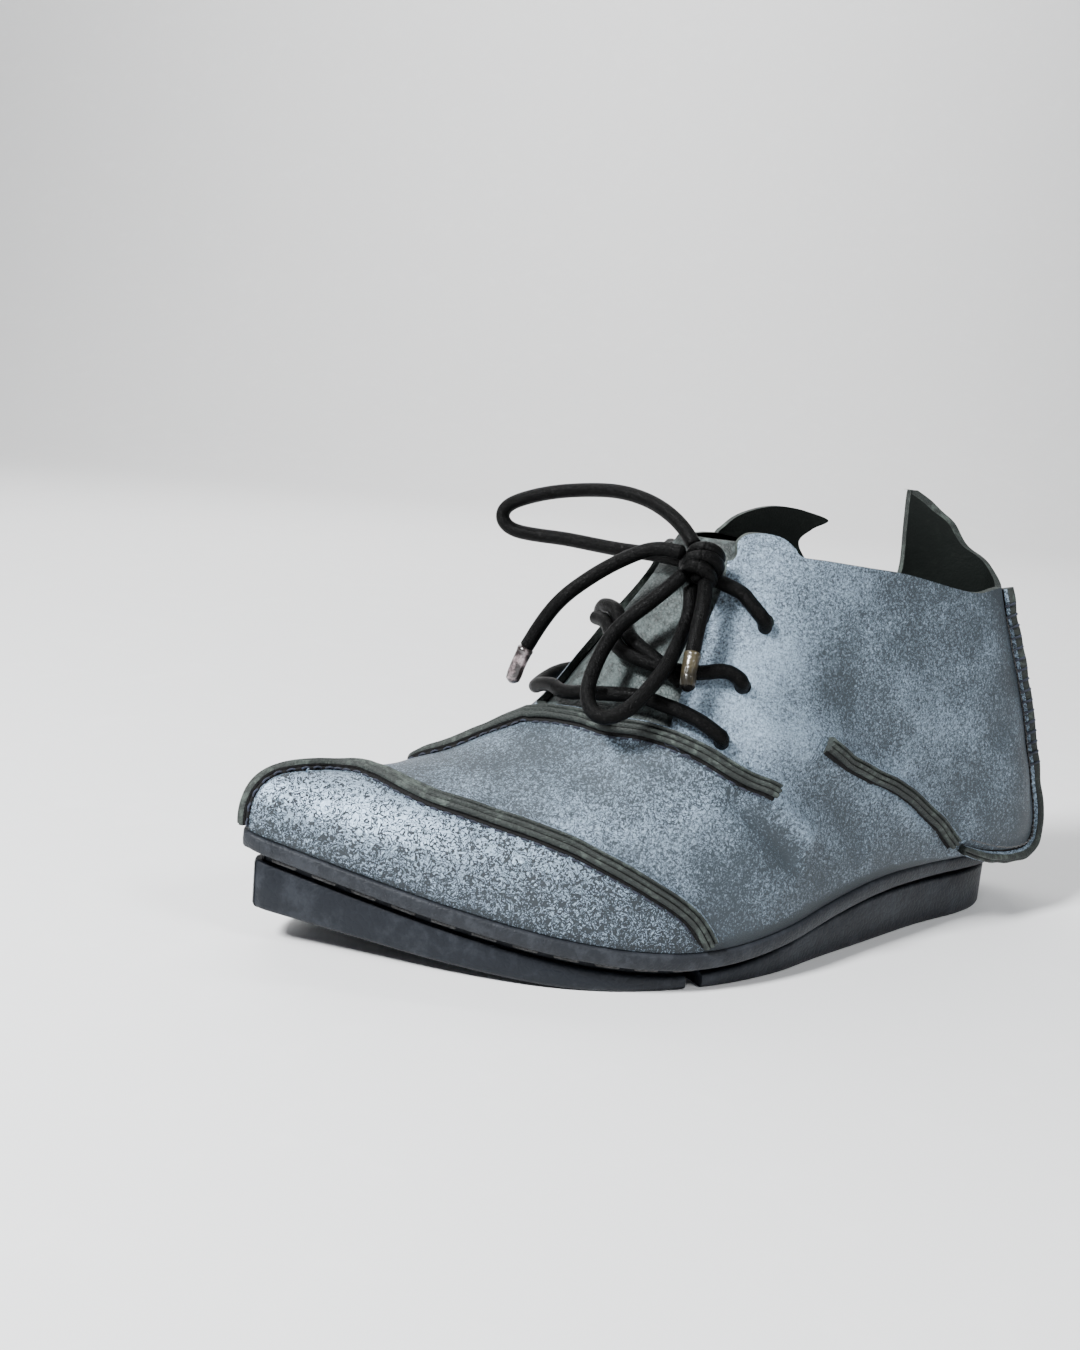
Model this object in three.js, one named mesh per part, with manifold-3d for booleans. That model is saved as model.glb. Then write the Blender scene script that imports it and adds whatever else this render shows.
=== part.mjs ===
// Ankle-high lace-up leather shoe for the left foot, with three outward-turned seams, standing empty.
// Millimetres. +X points to the toe, +Y to the outer (lateral) side, +Z up, the floor at Z = 0.
import * as THREE from 'three';
import { mergeVertices } from 'three/addons/utils/BufferGeometryUtils.js';
import Module from 'manifold-3d';

const wasm = await Module();
wasm.setup();

// Driving sizes of the shoe
const SOLE_LENGTH = 258;
const BALL_WIDTH = 96;
const INSTEP_HEIGHT = 69;
const COLLAR_HEIGHT = 116;
const LEG_HEIGHT = COLLAR_HEIGHT - INSTEP_HEIGHT;
const HEEL_LIFT = 22;
const BALL_LIFT = 11.5;
const TOE_LIFT = 32;
const TOE_SPRING = 10.5;

// Where the sole's side bends, as shares of the sole's length, and how sharply it does
const HEEL_SEAT_END = 0.26;
const BALL_ALONG = 0.59;
const TREAD_BREAK = 0.69;
const TOE_CURVE = 1.6;
const TREAD_CURVE = 1.5;
const HEEL_TAPER_END = 0.35;

// Thicknesses and clearances
const LEATHER = 2;
const TONGUE_LEATHER = 1.8;
const INSOLE_THICKNESS = 3;
const BAND_THICKNESS = 4.5;
const CLEARANCE = 0.3;
const CUT_OVERLAP = 1;
const CEILING_SHARE = 1.5;

// Shape of the sole's side
const BAND_MARGIN = 1.2;
const BAND_HEEL_INSET = 1.6;
const BAND_BEVEL = 0.8;
const RECESS_DEPTH = 4.5;
const RECESS_HEIGHT = 2.6;
const BLOCK_INSET = 2.2;
const BLOCK_EDGE = 1.2;
const NOTCH_ALONG = 0.582;
const NOTCH_WIDTH = 5;

// Raised seams, punched holes and laces
const SEAM_WIDTH = 4.4;
const SEAM_HEIGHT = 2.6;
const HEEL_SEAM_WIDTH = 3.4;
const HEEL_SEAM_HEIGHT = 3.6;
const SEAM_GAP = 0.35;
const TONGUE_GAP = 0.4;
const HOLE_DIAMETER = 4.6;
const LACE_DIAMETER = 4.2;

// Fineness of the faceted solids
const STEPS_PER_ROW = 2;
const RIB_STEPS = 10;
const CENTRE_HALF_WIDTH = 0.5;
const SEAM_STEPS = 3;

// The last, seen as ribs that climb from the edge of the sole to the crest of the shoe.
// along, out, inn: foot of the two ribs, as shares of the sole's length and of the ball width.
// crest, crestOut, crestIn: upper end of the ribs. instep, leg: its height, as a share of the instep's
// height and of the leg between the instep and the collar.
// flare, side: lower handle, outward as a share of the ball width, up as a share of the rib's height.
// crown, drop: upper handle, as shares of the rib's width and height.
const RIBS = [
  { along: 0.012, out: 0.000, inn: 0.000, crest: 0.093, crestOut: 0.000, crestIn: 0.000,
    instep: 1.000, leg: 1.511, flare: 0.350, side: -0.11, crown: 0.30, drop: 0.44 },
  { along: 0.020, out: 0.094, inn: 0.083, crest: 0.101, crestOut: 0.055, crestIn: 0.057,
    instep: 1.000, leg: 1.511, flare: 0.320, side: -0.11, crown: 0.30, drop: 0.44 },
  { along: 0.050, out: 0.200, inn: 0.188, crest: 0.124, crestOut: 0.104, crestIn: 0.115,
    instep: 1.000, leg: 1.511, flare: 0.240, side: -0.09, crown: 0.25, drop: 0.44 },
  { along: 0.105, out: 0.268, inn: 0.256, crest: 0.174, crestOut: 0.158, crestIn: 0.182,
    instep: 1.000, leg: 1.511, flare: 0.150, side: -0.02, crown: 0.20, drop: 0.42 },
  { along: 0.200, out: 0.318, inn: 0.296, crest: 0.244, crestOut: 0.198, crestIn: 0.229,
    instep: 1.000, leg: 1.511, flare: 0.070, side: 0.14, crown: 0.20, drop: 0.40 },
  { along: 0.300, out: 0.392, inn: 0.302, crest: 0.318, crestOut: 0.206, crestIn: 0.240,
    instep: 1.000, leg: 1.511, flare: 0.010, side: 0.25, crown: 0.25, drop: 0.36 },
  { along: 0.390, out: 0.466, inn: 0.310, crest: 0.385, crestOut: 0.190, crestIn: 0.224,
    instep: 1.000, leg: 1.511, flare: -0.010, side: 0.28, crown: 0.30, drop: 0.36 },
  { along: 0.460, out: 0.530, inn: 0.334, crest: 0.438, crestOut: 0.145, crestIn: 0.185,
    instep: 1.000, leg: 1.444, flare: -0.010, side: 0.29, crown: 0.32, drop: 0.36 },
  { along: 0.520, out: 0.562, inn: 0.364, crest: 0.482, crestOut: 0.080, crestIn: 0.110,
    instep: 1.000, leg: 1.271, flare: 0.000, side: 0.30, crown: 0.36, drop: 0.32 },
  { along: 0.570, out: 0.570, inn: 0.390, crest: 0.538, crestOut: 0.010, crestIn: 0.066,
    instep: 1.000, leg: 0.951, flare: 0.005, side: 0.31, crown: 0.40, drop: 0.24 },
  { along: 0.620, out: 0.562, inn: 0.410, crest: 0.598, crestOut: -0.025, crestIn: 0.046,
    instep: 1.000, leg: 0.494, flare: 0.010, side: 0.34, crown: 0.42, drop: 0.16 },
  { along: 0.680, out: 0.528, inn: 0.420, crest: 0.666, crestOut: -0.035, crestIn: 0.038,
    instep: 0.995, leg: 0.000, flare: 0.012, side: 0.42, crown: 0.44, drop: 0.10 },
  { along: 0.750, out: 0.446, inn: 0.414, crest: 0.738, crestOut: -0.028, crestIn: 0.030,
    instep: 0.807, leg: 0.000, flare: 0.014, side: 0.50, crown: 0.52, drop: 0.06 },
  { along: 0.830, out: 0.306, inn: 0.376, crest: 0.812, crestOut: -0.020, crestIn: 0.020,
    instep: 0.713, leg: 0.000, flare: 0.014, side: 0.58, crown: 0.60, drop: 0.03 },
  { along: 0.905, out: 0.150, inn: 0.300, crest: 0.878, crestOut: -0.035, crestIn: 0.035,
    instep: 0.689, leg: 0.000, flare: 0.012, side: 0.62, crown: 0.62, drop: 0.02 },
  { along: 0.960, out: 0.040, inn: 0.208, crest: 0.916, crestOut: -0.040, crestIn: 0.040,
    instep: 0.693, leg: 0.000, flare: 0.010, side: 0.64, crown: 0.66, drop: 0.00 },
  { along: 0.990, out: -0.016, inn: 0.124, crest: 0.934, crestOut: -0.044, crestIn: 0.044,
    instep: 0.694, leg: 0.000, flare: 0.008, side: 0.64, crown: 0.70, drop: 0.00 },
  { along: 1.000, out: -0.056, inn: 0.056, crest: 0.942, crestOut: -0.048, crestIn: 0.048,
    instep: 0.694, leg: 0.000, flare: 0.008, side: 0.64, crown: 0.72, drop: 0.00 },
];

// Top line of the outer side: rounded tab at the throat, then low and smooth to the heel seam.
const OUTER_TOP = [
  { along: 0.000, top: 0.910 }, { along: 0.098, top: 0.912 }, { along: 0.145, top: 0.903 },
  { along: 0.187, top: 0.914 }, { along: 0.230, top: 0.932 }, { along: 0.282, top: 0.953 },
  { along: 0.325, top: 0.963 }, { along: 0.389, top: 0.977 }, { along: 0.425, top: 0.984 },
  { along: 0.434, top: 1.004 }, { along: 0.445, top: 1.024 }, { along: 0.460, top: 1.032 },
  { along: 0.477, top: 1.028 }, { along: 0.489, top: 1.008 }, { along: 0.500, top: 0.960 },
  { along: 0.560, top: 0.940 },
];

// Top line of the inner side: fin over the heel, a notch at the ankle, a leaf pointing backwards.
const INNER_TOP = [
  { along: -0.060, top: 1.170 }, { along: 0.150, top: 1.170 }, { along: 0.158, top: 1.154 },
  { along: 0.161, top: 1.140 }, { along: 0.156, top: 1.045 }, { along: 0.148, top: 0.931 },
  { along: 0.152, top: 0.885 }, { along: 0.175, top: 0.852 }, { along: 0.210, top: 0.846 },
  { along: 0.250, top: 0.872 }, { along: 0.282, top: 0.925 }, { along: 0.301, top: 0.981 },
  { along: 0.284, top: 1.018 }, { along: 0.262, top: 1.046 }, { along: 0.297, top: 1.068 },
  { along: 0.327, top: 1.077 }, { along: 0.356, top: 1.076 }, { along: 0.385, top: 1.062 },
  { along: 0.408, top: 1.042 }, { along: 0.428, top: 1.010 }, { along: 0.450, top: 0.985 },
  { along: 0.560, top: 0.975 },
];

// Top line across the back, climbing from the heel seam to the fin, as shares of the ball width.
const BACK_TOP = [
  { across: 0.110, top: 0.912 }, { across: 0.090, top: 0.912 }, { across: 0.050, top: 0.935 },
  { across: -0.017, top: 0.978 }, { across: -0.075, top: 1.008 }, { across: -0.104, top: 1.067 },
  { across: -0.127, top: 1.096 }, { across: -0.144, top: 1.125 }, { across: -0.165, top: 1.154 },
  { across: -0.180, top: 1.175 },
];
const BACK_FROM = -0.200;
const BACK_TO = 0.160;

// Edges of the two facings across the throat, outer and inner, as shares of the ball width.
// leg: height above the instep, as a share of the leg.
const THROAT = [
  { leg: -0.040, out: 0.322, inn: 0.117 }, { leg: 0.082, out: 0.297, inn: 0.110 },
  { leg: 0.223, out: 0.269, inn: 0.105 }, { leg: 0.474, out: 0.216, inn: 0.100 },
  { leg: 0.691, out: 0.183, inn: 0.098 }, { leg: 0.783, out: 0.172, inn: 0.096 },
  { leg: 1.020, out: 0.133, inn: 0.094 },
];
const THROAT_FLOOR = -0.085;
const THROAT_CEILING = 1.750;
const THROAT_FROM = 0.450;
const THROAT_TO = 0.800;
const TONGUE_MARGIN = 0.060;
const TONGUE_TOP = 1.010;
const TONGUE_FLOOR = -0.357;

// Raised seams over the surface. place: rib row. across: -1 at the inner sole edge, 0 at the crest, 1 at
// the outer sole edge.
const TOE_SEAM = [
  { place: 16.60, across: -1.02 }, { place: 16.62, across: -0.80 }, { place: 16.35, across: -0.50 },
  { place: 15.70, across: -0.27 }, { place: 15.00, across: -0.20 }, { place: 14.30, across: -0.14 },
  { place: 13.75, across: 0.10 }, { place: 13.20, across: 0.32 }, { place: 12.50, across: 0.46 },
  { place: 11.80, across: 0.58 }, { place: 11.05, across: 0.70 }, { place: 10.35, across: 0.80 },
  { place: 9.50, across: 0.90 }, { place: 8.90, across: 1.02 },
];
const VAMP_SEAM = [
  { place: 11.70, across: -1.02 }, { place: 11.95, across: -0.80 }, { place: 12.30, across: -0.60 },
  { place: 12.55, across: -0.40 }, { place: 12.30, across: -0.24 }, { place: 11.75, across: -0.14 },
  { place: 11.35, across: 0.00 }, { place: 10.85, across: 0.20 }, { place: 10.50, across: 0.32 },
  { place: 9.80, across: 0.44 }, { place: 8.80, across: 0.56 }, { place: 7.60, across: 0.66 },
];
const WAIST_SEAM = [
  { place: 6.30, across: 0.595 }, { place: 5.50, across: 0.68 }, { place: 4.75, across: 0.74 },
  { place: 4.20, across: 0.80 }, { place: 3.95, across: 0.84 },
];
const HEEL_SEAM = [
  { place: 1.15, across: 0.12 }, { place: 1.25, across: 0.32 }, { place: 1.20, across: 0.44 },
  { place: 1.15, across: 0.54 }, { place: 1.20, across: 0.64 }, { place: 1.40, across: 0.73 },
  { place: 1.80, across: 0.83 }, { place: 2.45, across: 0.89 }, { place: 3.05, across: 0.91 },
  { place: 3.65, across: 0.90 },
];

// Punched holes, the lowest pair first
const HOLES = [
  { side: 'outer', place: 8.70, across: 0.52 }, { side: 'outer', place: 8.15, across: 0.42 },
  { side: 'outer', place: 7.55, across: 0.30 }, { side: 'inner', place: 9.30, across: -0.44 },
  { side: 'inner', place: 8.50, across: -0.36 }, { side: 'inner', place: 7.80, across: -0.27 },
];

// Lace strands over the leather: lift is the height of the strand's middle in lace diameters.
const LACE_BAR = [
  { place: 8.72, across: 0.52, lift: 0.74 }, { place: 8.95, across: 0.49, lift: 0.80 },
  { place: 9.60, across: 0.40, lift: 0.90 }, { place: 9.95, across: 0.34, lift: 0.95 },
  { place: 10.35, across: 0.26, lift: 1.05 }, { place: 10.60, across: 0.19, lift: 1.05 },
  { place: 10.90, across: 0.07, lift: 0.95 }, { place: 10.92, across: -0.12, lift: 0.85 },
  { place: 10.60, across: -0.26, lift: 0.80 }, { place: 10.00, across: -0.36, lift: 0.78 },
  { place: 9.32, across: -0.43, lift: 0.74 },
];
const LACE_OVER = [
  { place: 8.20, across: 0.42, lift: 0.74 }, { place: 8.50, across: 0.385, lift: 0.76 },
  { place: 9.05, across: 0.36, lift: 0.76 }, { place: 9.50, across: 0.31, lift: 0.76 },
  { place: 9.85, across: 0.24, lift: 0.74 }, { place: 10.10, across: 0.14, lift: 0.72 },
  { place: 10.10, across: -0.02, lift: 0.72 },
];
const LACE_UNDER = [
  { place: 8.52, across: -0.36, lift: 0.74 }, { place: 9.10, across: -0.28, lift: 0.76 },
  { place: 9.75, across: -0.14, lift: 0.76 }, { place: 9.95, across: 0.02, lift: 0.72 },
  { place: 9.90, across: 0.16, lift: 0.72 }, { place: 9.62, across: 0.28, lift: 0.74 },
  { place: 9.35, across: 0.36, lift: 0.80 },
];
const LACE_TOP = [
  { place: 7.60, across: 0.31, lift: 0.74 }, { place: 7.95, across: 0.25, lift: 0.78 },
  { place: 8.30, across: 0.17, lift: 0.80 }, { place: 8.45, across: 0.08, lift: 0.80 },
  { place: 8.38, across: -0.04, lift: 0.80 }, { place: 8.15, across: -0.15, lift: 0.78 },
  { place: 7.82, across: -0.25, lift: 0.74 },
];
const LACE_SIDES = 8;
const LACE_STEP = 2.2;

// The bow's knot, loops and ends, as they lie over the instep. They are points chosen by hand.
const KNOT_AT = [140.1, 18.3, 110.2];
const KNOT_HALF = [5.0, 6.4, 6.0];
const LOOP_FRONT = [
  [146.0, 18.0, 107.2], [149.6, 17.4, 103.6], [155.0, 15.6, 98.2], [162.6, 13.4, 91.0],
  [170.2, 16.8, 80.9], [174.8, 22.6, 73.3], [174.0, 29.1, 69.4], [168.7, 33.0, 72.0],
  [162.2, 32.2, 77.4], [155.5, 29.8, 83.4], [148.6, 24.6, 90.6], [144.0, 20.8, 97.4],
  [142.6, 17.6, 103.4],
];
const LOOP_SIDE = [
  [140.4, 13.4, 115.3], [141.2, 8.6, 119.2], [142.8, 2.6, 122.6], [145.6, -6.0, 125.6],
  [150.6, -14.0, 127.0], [156.8, -23.0, 126.3], [164.9, -31.0, 123.9], [172.6, -37.0, 119.6],
  [175.6, -39.4, 116.2], [173.6, -37.6, 113.2], [168.6, -32.0, 112.6], [161.9, -25.0, 111.6],
  [152.0, -11.0, 110.5], [144.6, 1.0, 110.6], [140.6, 10.9, 110.2],
];
const END_LONG = [
  [145.6, 15.6, 113.2], [150.2, 9.0, 113.4], [157.2, 3.0, 109.0], [164.7, -0.6, 103.3],
  [172.0, -4.0, 96.0], [176.1, -7.0, 88.2], [178.8, -8.8, 81.6],
];
const AGLET_LONG = [[179.0, -9.0, 80.9], [180.6, -9.7, 76.1], [181.8, -10.2, 71.6]];
const END_SHORT = [
  [141.3, 22.8, 105.9], [143.2, 26.0, 101.4], [145.7, 28.6, 95.4], [147.9, 30.8, 90.0],
  [148.4, 31.4, 88.4],
];
const AGLET_SHORT = [[148.6, 31.7, 87.7], [150.0, 33.1, 84.0], [151.0, 34.6, 79.0]];

// Small vector helpers
const vector = (x, y, z) => new THREE.Vector3(x, y, z);
const mix = (a, b, share) => a + (b - a) * share;
const smooth = (share) => share * share * (3 - 2 * share);
const clamp = (value) => Math.min(1, Math.max(0, value));

// Smooth value of one column at a fractional row number
function column(rows, name, place) {
  const last = rows.length - 1;
  const row = Math.min(last - 1, Math.floor(place));
  const share = place - row;
  const at = (index) => rows[Math.min(last, Math.max(0, index))][name];
  const before = at(row - 1);
  const start = at(row);
  const end = at(row + 1);
  const after = at(row + 2);
  const cubic = -before + 3 * start - 3 * end + after;
  const square = 2 * before - 5 * start + 4 * end - after;
  return 0.5 * (2 * start + (end - before) * share + square * share ** 2 + cubic * share ** 3);
}

// Height of the sole's upper face, where the upper and the insole stand
function footbed(x) {
  const along = x / SOLE_LENGTH;
  const waist = smooth(clamp((along - HEEL_SEAT_END) / (BALL_ALONG - HEEL_SEAT_END)));
  const spring = clamp((along - BALL_ALONG) / (1 - BALL_ALONG)) ** TOE_CURVE;
  return mix(HEEL_LIFT, BALL_LIFT, waist) + (TOE_LIFT - BALL_LIFT) * spring;
}

// Height of the tread, flat on the floor and rising at the toe
function tread(x) {
  return TOE_SPRING * clamp((x / SOLE_LENGTH - TREAD_BREAK) / (1 - TREAD_BREAK)) ** TREAD_CURVE;
}

// Past the heel or the toe a rib is the one on the other side
function fold(place, side) {
  const last = RIBS.length - 1;
  if (place < 0) {
    return { at: -place, hand: -side };
  }
  return place > last ? { at: 2 * last - place, hand: -side } : { at: place, hand: side };
}

// Foot of the rib on one side, with its outward direction
function ribFoot(place, side) {
  const point = (where) => {
    const { at, hand } = fold(where, side);
    const x = SOLE_LENGTH * column(RIBS, 'along', at);
    return vector(x, hand * BALL_WIDTH * column(RIBS, hand > 0 ? 'out' : 'inn', at), footbed(x));
  };
  const run = point(place + 0.2).sub(point(place - 0.2));
  return { foot: point(place), outward: vector(-run.y * side, run.x * side, 0).normalize() };
}

// Point on the outside of the shoe, height share 0 at the sole and 1 at the crest
function ribPoint(place, side, share) {
  const { foot, outward } = ribFoot(place, side);
  const crest = vector(
    SOLE_LENGTH * column(RIBS, 'crest', place),
    side * BALL_WIDTH * column(RIBS, side > 0 ? 'crestOut' : 'crestIn', place),
    INSTEP_HEIGHT * column(RIBS, 'instep', place) + LEG_HEIGHT * column(RIBS, 'leg', place),
  );
  const rise = crest.z - foot.z;
  const crown = column(RIBS, 'crown', place);
  const lower = foot.clone().addScaledVector(outward, BALL_WIDTH * column(RIBS, 'flare', place));
  lower.z += rise * column(RIBS, 'side', place);
  const upper = vector(
    mix(crest.x, foot.x, crown),
    mix(crest.y, foot.y, crown),
    crest.z - rise * column(RIBS, 'drop', place),
  );
  return new THREE.CubicBezierCurve3(foot, lower, upper, crest).getPoint(share);
}

// Outward direction of the surface at a point of a rib
function ribNormal(place, side, share) {
  const step = 0.1;
  const rise = 0.02;
  const behind = fold(place - step, side);
  const ahead = fold(place + step, side);
  const along = ribPoint(ahead.at, ahead.hand, share).sub(ribPoint(behind.at, behind.hand, share));
  along.y += (ahead.hand - behind.hand) * CENTRE_HALF_WIDTH;
  const up = ribPoint(place, side, Math.min(1, share + rise))
    .sub(ribPoint(place, side, Math.max(0, share - rise)));
  return up.cross(along).multiplyScalar(side).normalize();
}

// Point on the grown or shrunk surface, the foot staying at the height of the sole's face
function shell(place, side, share, growth) {
  const point = ribPoint(place, side, share);
  const normal = ribNormal(place, side, share);
  if (share < 0.001) {
    point.addScaledVector(ribFoot(place, side).outward, growth);
    point.z += Math.min(0, growth) * Math.min(0, normal.z);
  } else {
    point.addScaledVector(normal, growth);
  }
  point.y += side * CENTRE_HALF_WIDTH;
  return point;
}

// Closed mesh through stations that each have an inner-side and an outer-side list of points
function loft(stations) {
  const half = stations[0].out.length;
  const around = 2 * half;
  const loops = stations.map(({ inn, out }) => [...inn, ...out.slice().reverse()]);
  const positions = loops.flat().flatMap((point) => [point.x, point.y, point.z]);
  const index = [];
  const quad = (a, b, c, d) => index.push(a, b, c, a, c, d);
  for (let row = 0; row < loops.length - 1; row += 1) {
    for (let step = 0; step < around; step += 1) {
      const next = (step + 1) % around;
      const base = row * around;
      quad(base + step, base + next, base + around + next, base + around + step);
    }
  }
  const end = (loops.length - 1) * around;
  for (let step = 0; step < half - 1; step += 1) {
    const twin = around - 1 - step;
    quad(step, twin, twin - 1, step + 1);
    quad(end + step, end + step + 1, end + twin - 1, end + twin);
  }
  const geometry = new THREE.BufferGeometry();
  geometry.setAttribute('position', new THREE.Float32BufferAttribute(positions, 3));
  geometry.setIndex(index);
  return facingOut(geometry);
}

// Turns every face of a closed mesh outwards
function facingOut(geometry) {
  const at = geometry.attributes.position;
  const index = geometry.index.array;
  const corner = (place) => vector(at.getX(index[place]), at.getY(index[place]), at.getZ(index[place]));
  let volume = 0;
  for (let place = 0; place < index.length; place += 3) {
    volume += corner(place).dot(corner(place + 1).cross(corner(place + 2)));
  }
  if (volume < 0) {
    geometry.setIndex(Array.from(index).reverse());
  }
  return geometry;
}

// Solid for joining and cutting, from a closed geometry, and back
function solid(geometry) {
  const bare = geometry.clone();
  bare.deleteAttribute('normal');
  bare.deleteAttribute('uv');
  const merged = facingOut(mergeVertices(bare, 1e-4));
  return new wasm.Manifold(new wasm.Mesh({
    numProp: 3,
    vertProperties: Float32Array.from(merged.attributes.position.array),
    triVerts: Uint32Array.from(merged.index.array),
  }));
}

function geometryOf(body) {
  const { vertProperties, triVerts } = body.getMesh();
  const geometry = new THREE.BufferGeometry();
  geometry.setAttribute('position', new THREE.BufferAttribute(Float32Array.from(vertProperties), 3));
  geometry.setIndex(Array.from(triVerts));
  geometry.computeVertexNormals();
  return geometry;
}

// The whole shoe's form, grown by a distance, with a skirt that reaches below the sole's face
function form(growth, skirt = 0) {
  const rows = STEPS_PER_ROW * (RIBS.length - 1);
  const stations = [];
  for (let row = 0; row <= rows; row += 1) {
    const place = row / STEPS_PER_ROW;
    const rib = (side) => {
      const points = [];
      for (let step = 0; step <= RIB_STEPS; step += 1) {
        points.push(shell(place, side, step / RIB_STEPS, growth));
      }
      if (skirt > 0) {
        const hem = points[0].clone();
        hem.z -= skirt;
        points.unshift(hem);
      }
      return points;
    };
    stations.push({ inn: rib(-1), out: rib(1) });
  }
  return solid(loft(stations));
}

// Plate that follows the sole's outline: a profile of insets and heights, from bottom to top
function plate(profile, taper = 0) {
  const rows = STEPS_PER_ROW * (RIBS.length - 1);
  const stations = [];
  for (let row = 0; row <= rows; row += 1) {
    const place = row / STEPS_PER_ROW;
    const edge = (side) => {
      const { foot, outward } = ribFoot(place, side);
      const heel = 1 - smooth(clamp(foot.x / (HEEL_TAPER_END * SOLE_LENGTH)));
      return profile.map(({ inset, height }) => {
        const point = foot.clone().addScaledVector(outward, -inset - taper * heel);
        point.z = height(point.x);
        point.y += side * CENTRE_HALF_WIDTH;
        return point;
      });
    };
    stations.push({ inn: edge(-1), out: edge(1) });
  }
  return solid(loft(stations));
}

// Round cord along a smooth curve through points
function cord(points) {
  const curve = new THREE.CatmullRomCurve3(points, false, 'centripetal');
  const corners = [];
  for (let side = 0; side < LACE_SIDES; side += 1) {
    const turn = (2 * Math.PI * side) / LACE_SIDES;
    corners.push(new THREE.Vector2(Math.cos(turn), Math.sin(turn)).multiplyScalar(LACE_DIAMETER / 2));
  }
  const steps = Math.max(3, Math.round(curve.getLength() / (LACE_STEP * LACE_DIAMETER)));
  return solid(new THREE.ExtrudeGeometry(new THREE.Shape(corners), { steps, extrudePath: curve }));
}
const freeCord = (points) => cord(points.map(([x, y, z]) => vector(x, y, z)));

// Prism of a closed outline, from one plane to another along an axis
function prism(points, axes, from, to) {
  const outline = new THREE.Shape(points.map(([across, up]) => new THREE.Vector2(across, up)));
  const geometry = new THREE.ExtrudeGeometry(outline, { depth: to - from, bevelEnabled: false });
  geometry.translate(0, 0, from);
  geometry.applyMatrix4(new THREE.Matrix4().makeBasis(...axes));
  return solid(geometry);
}
const SIDEWAYS = [vector(1, 0, 0), vector(0, 0, 1), vector(0, -1, 0)];
const FORWARD = [vector(0, 1, 0), vector(0, 0, 1), vector(1, 0, 0)];

// Point of the outside at a signed share across, lifted off the surface
function above(place, across, lift) {
  const side = across < 0 ? -1 : 1;
  const share = 1 - Math.abs(across);
  return ribPoint(place, side, share).addScaledVector(ribNormal(place, side, share), lift);
}

// Round punch through the leather
function punch({ place, across }) {
  const centre = above(place, across, 0);
  const out = above(place, across, 1).sub(centre).normalize();
  const pin = new THREE.CylinderGeometry(HOLE_DIAMETER / 2, HOLE_DIAMETER / 2, 4 * LEATHER, 12);
  pin.applyQuaternion(new THREE.Quaternion().setFromUnitVectors(vector(0, 1, 0), out));
  pin.translate(centre.x, centre.y, centre.z);
  return solid(pin);
}

// Strand of the lace that follows the leather
const strand = (rows) => cord(rows.map(({ place, across, lift }) => (
  above(place, across, lift * LACE_DIAMETER)
)));

// Everything above a top line, as a prism across one side of the shoe
function aboveLine(rows, from, to) {
  const ceiling = CEILING_SHARE * COLLAR_HEIGHT;
  const line = rows.map(({ along, top }) => [along * SOLE_LENGTH, top * COLLAR_HEIGHT]);
  const [first] = line;
  const last = line[line.length - 1];
  return prism([...line, [last[0], ceiling], [first[0], ceiling]], SIDEWAYS, from, to);
}

// Ribbon that stands across the surface along a seam, to cut the seam out between two forms
function curtain(rows, width, height) {
  const steps = SEAM_STEPS * (rows.length - 1);
  const at = (step) => {
    const where = step / SEAM_STEPS;
    const across = column(rows, 'across', where);
    const side = across < 0 ? -1 : 1;
    const share = Math.max(0, 1 - Math.abs(across));
    const place = column(rows, 'place', where);
    const point = ribPoint(place, side, share);
    point.y += side * CENTRE_HALF_WIDTH;
    return { point, normal: ribNormal(place, side, share) };
  };
  const stations = [];
  for (let step = 0; step <= steps; step += 1) {
    const { point, normal } = at(step);
    const ahead = at(Math.min(steps, step + 1)).point;
    const behind = at(Math.max(0, step - 1)).point;
    const sideways = ahead.sub(behind).cross(normal).normalize().multiplyScalar(width / 2);
    const edge = (sign) => [-height, 2 * height].map((lift) => point.clone()
      .addScaledVector(sideways, sign).addScaledVector(normal, lift));
    stations.push({ inn: edge(-1), out: edge(1) });
  }
  return solid(loft(stations));
}

// Prism through the throat, as wide as the gap between the facings plus a margin
function throatPrism(margin, floor, ceiling) {
  const rows = THROAT.filter(({ leg }) => leg > floor && leg < ceiling);
  const first = THROAT[0];
  const last = THROAT[THROAT.length - 1];
  const edges = [{ ...first, leg: floor }, ...rows, { ...last, leg: ceiling }];
  const height = (leg) => INSTEP_HEIGHT + leg * LEG_HEIGHT;
  const up = edges.map(({ leg, out }) => [(out + margin) * BALL_WIDTH, height(leg)]);
  const down = edges.map(({ leg, inn }) => [-(inn + margin) * BALL_WIDTH, height(leg)]);
  return prism([...up, ...down.reverse()], FORWARD, THROAT_FROM * SOLE_LENGTH, THROAT_TO * SOLE_LENGTH);
}

// Upper: one hollow leather wall, open at the collar, the throat and underneath
const outside = form(0);
const split = BACK_TOP[1].across * BALL_WIDTH;
const backLine = BACK_TOP.map(({ across, top }) => [across * BALL_WIDTH, top * COLLAR_HEIGHT]);
const [lowest] = backLine;
const highest = backLine[backLine.length - 1];
const ceiling = CEILING_SHARE * COLLAR_HEIGHT;
const backCut = prism([...backLine, [highest[0], ceiling], [lowest[0], ceiling]], FORWARD,
  BACK_FROM * SOLE_LENGTH, BACK_TO * SOLE_LENGTH);
const collarCut = aboveLine(OUTER_TOP, -BALL_WIDTH, -split)
  .add(aboveLine(INNER_TOP, -split - CUT_OVERLAP, BALL_WIDTH))
  .add(backCut);
const throatCut = throatPrism(0, THROAT_FLOOR, THROAT_CEILING);
const punches = HOLES.map(punch).reduce((all, next) => all.add(next));
const upper = outside
  .subtract(form(-LEATHER, HEEL_LIFT))
  .subtract(collarCut)
  .subtract(throatCut)
  .subtract(punches);

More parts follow.
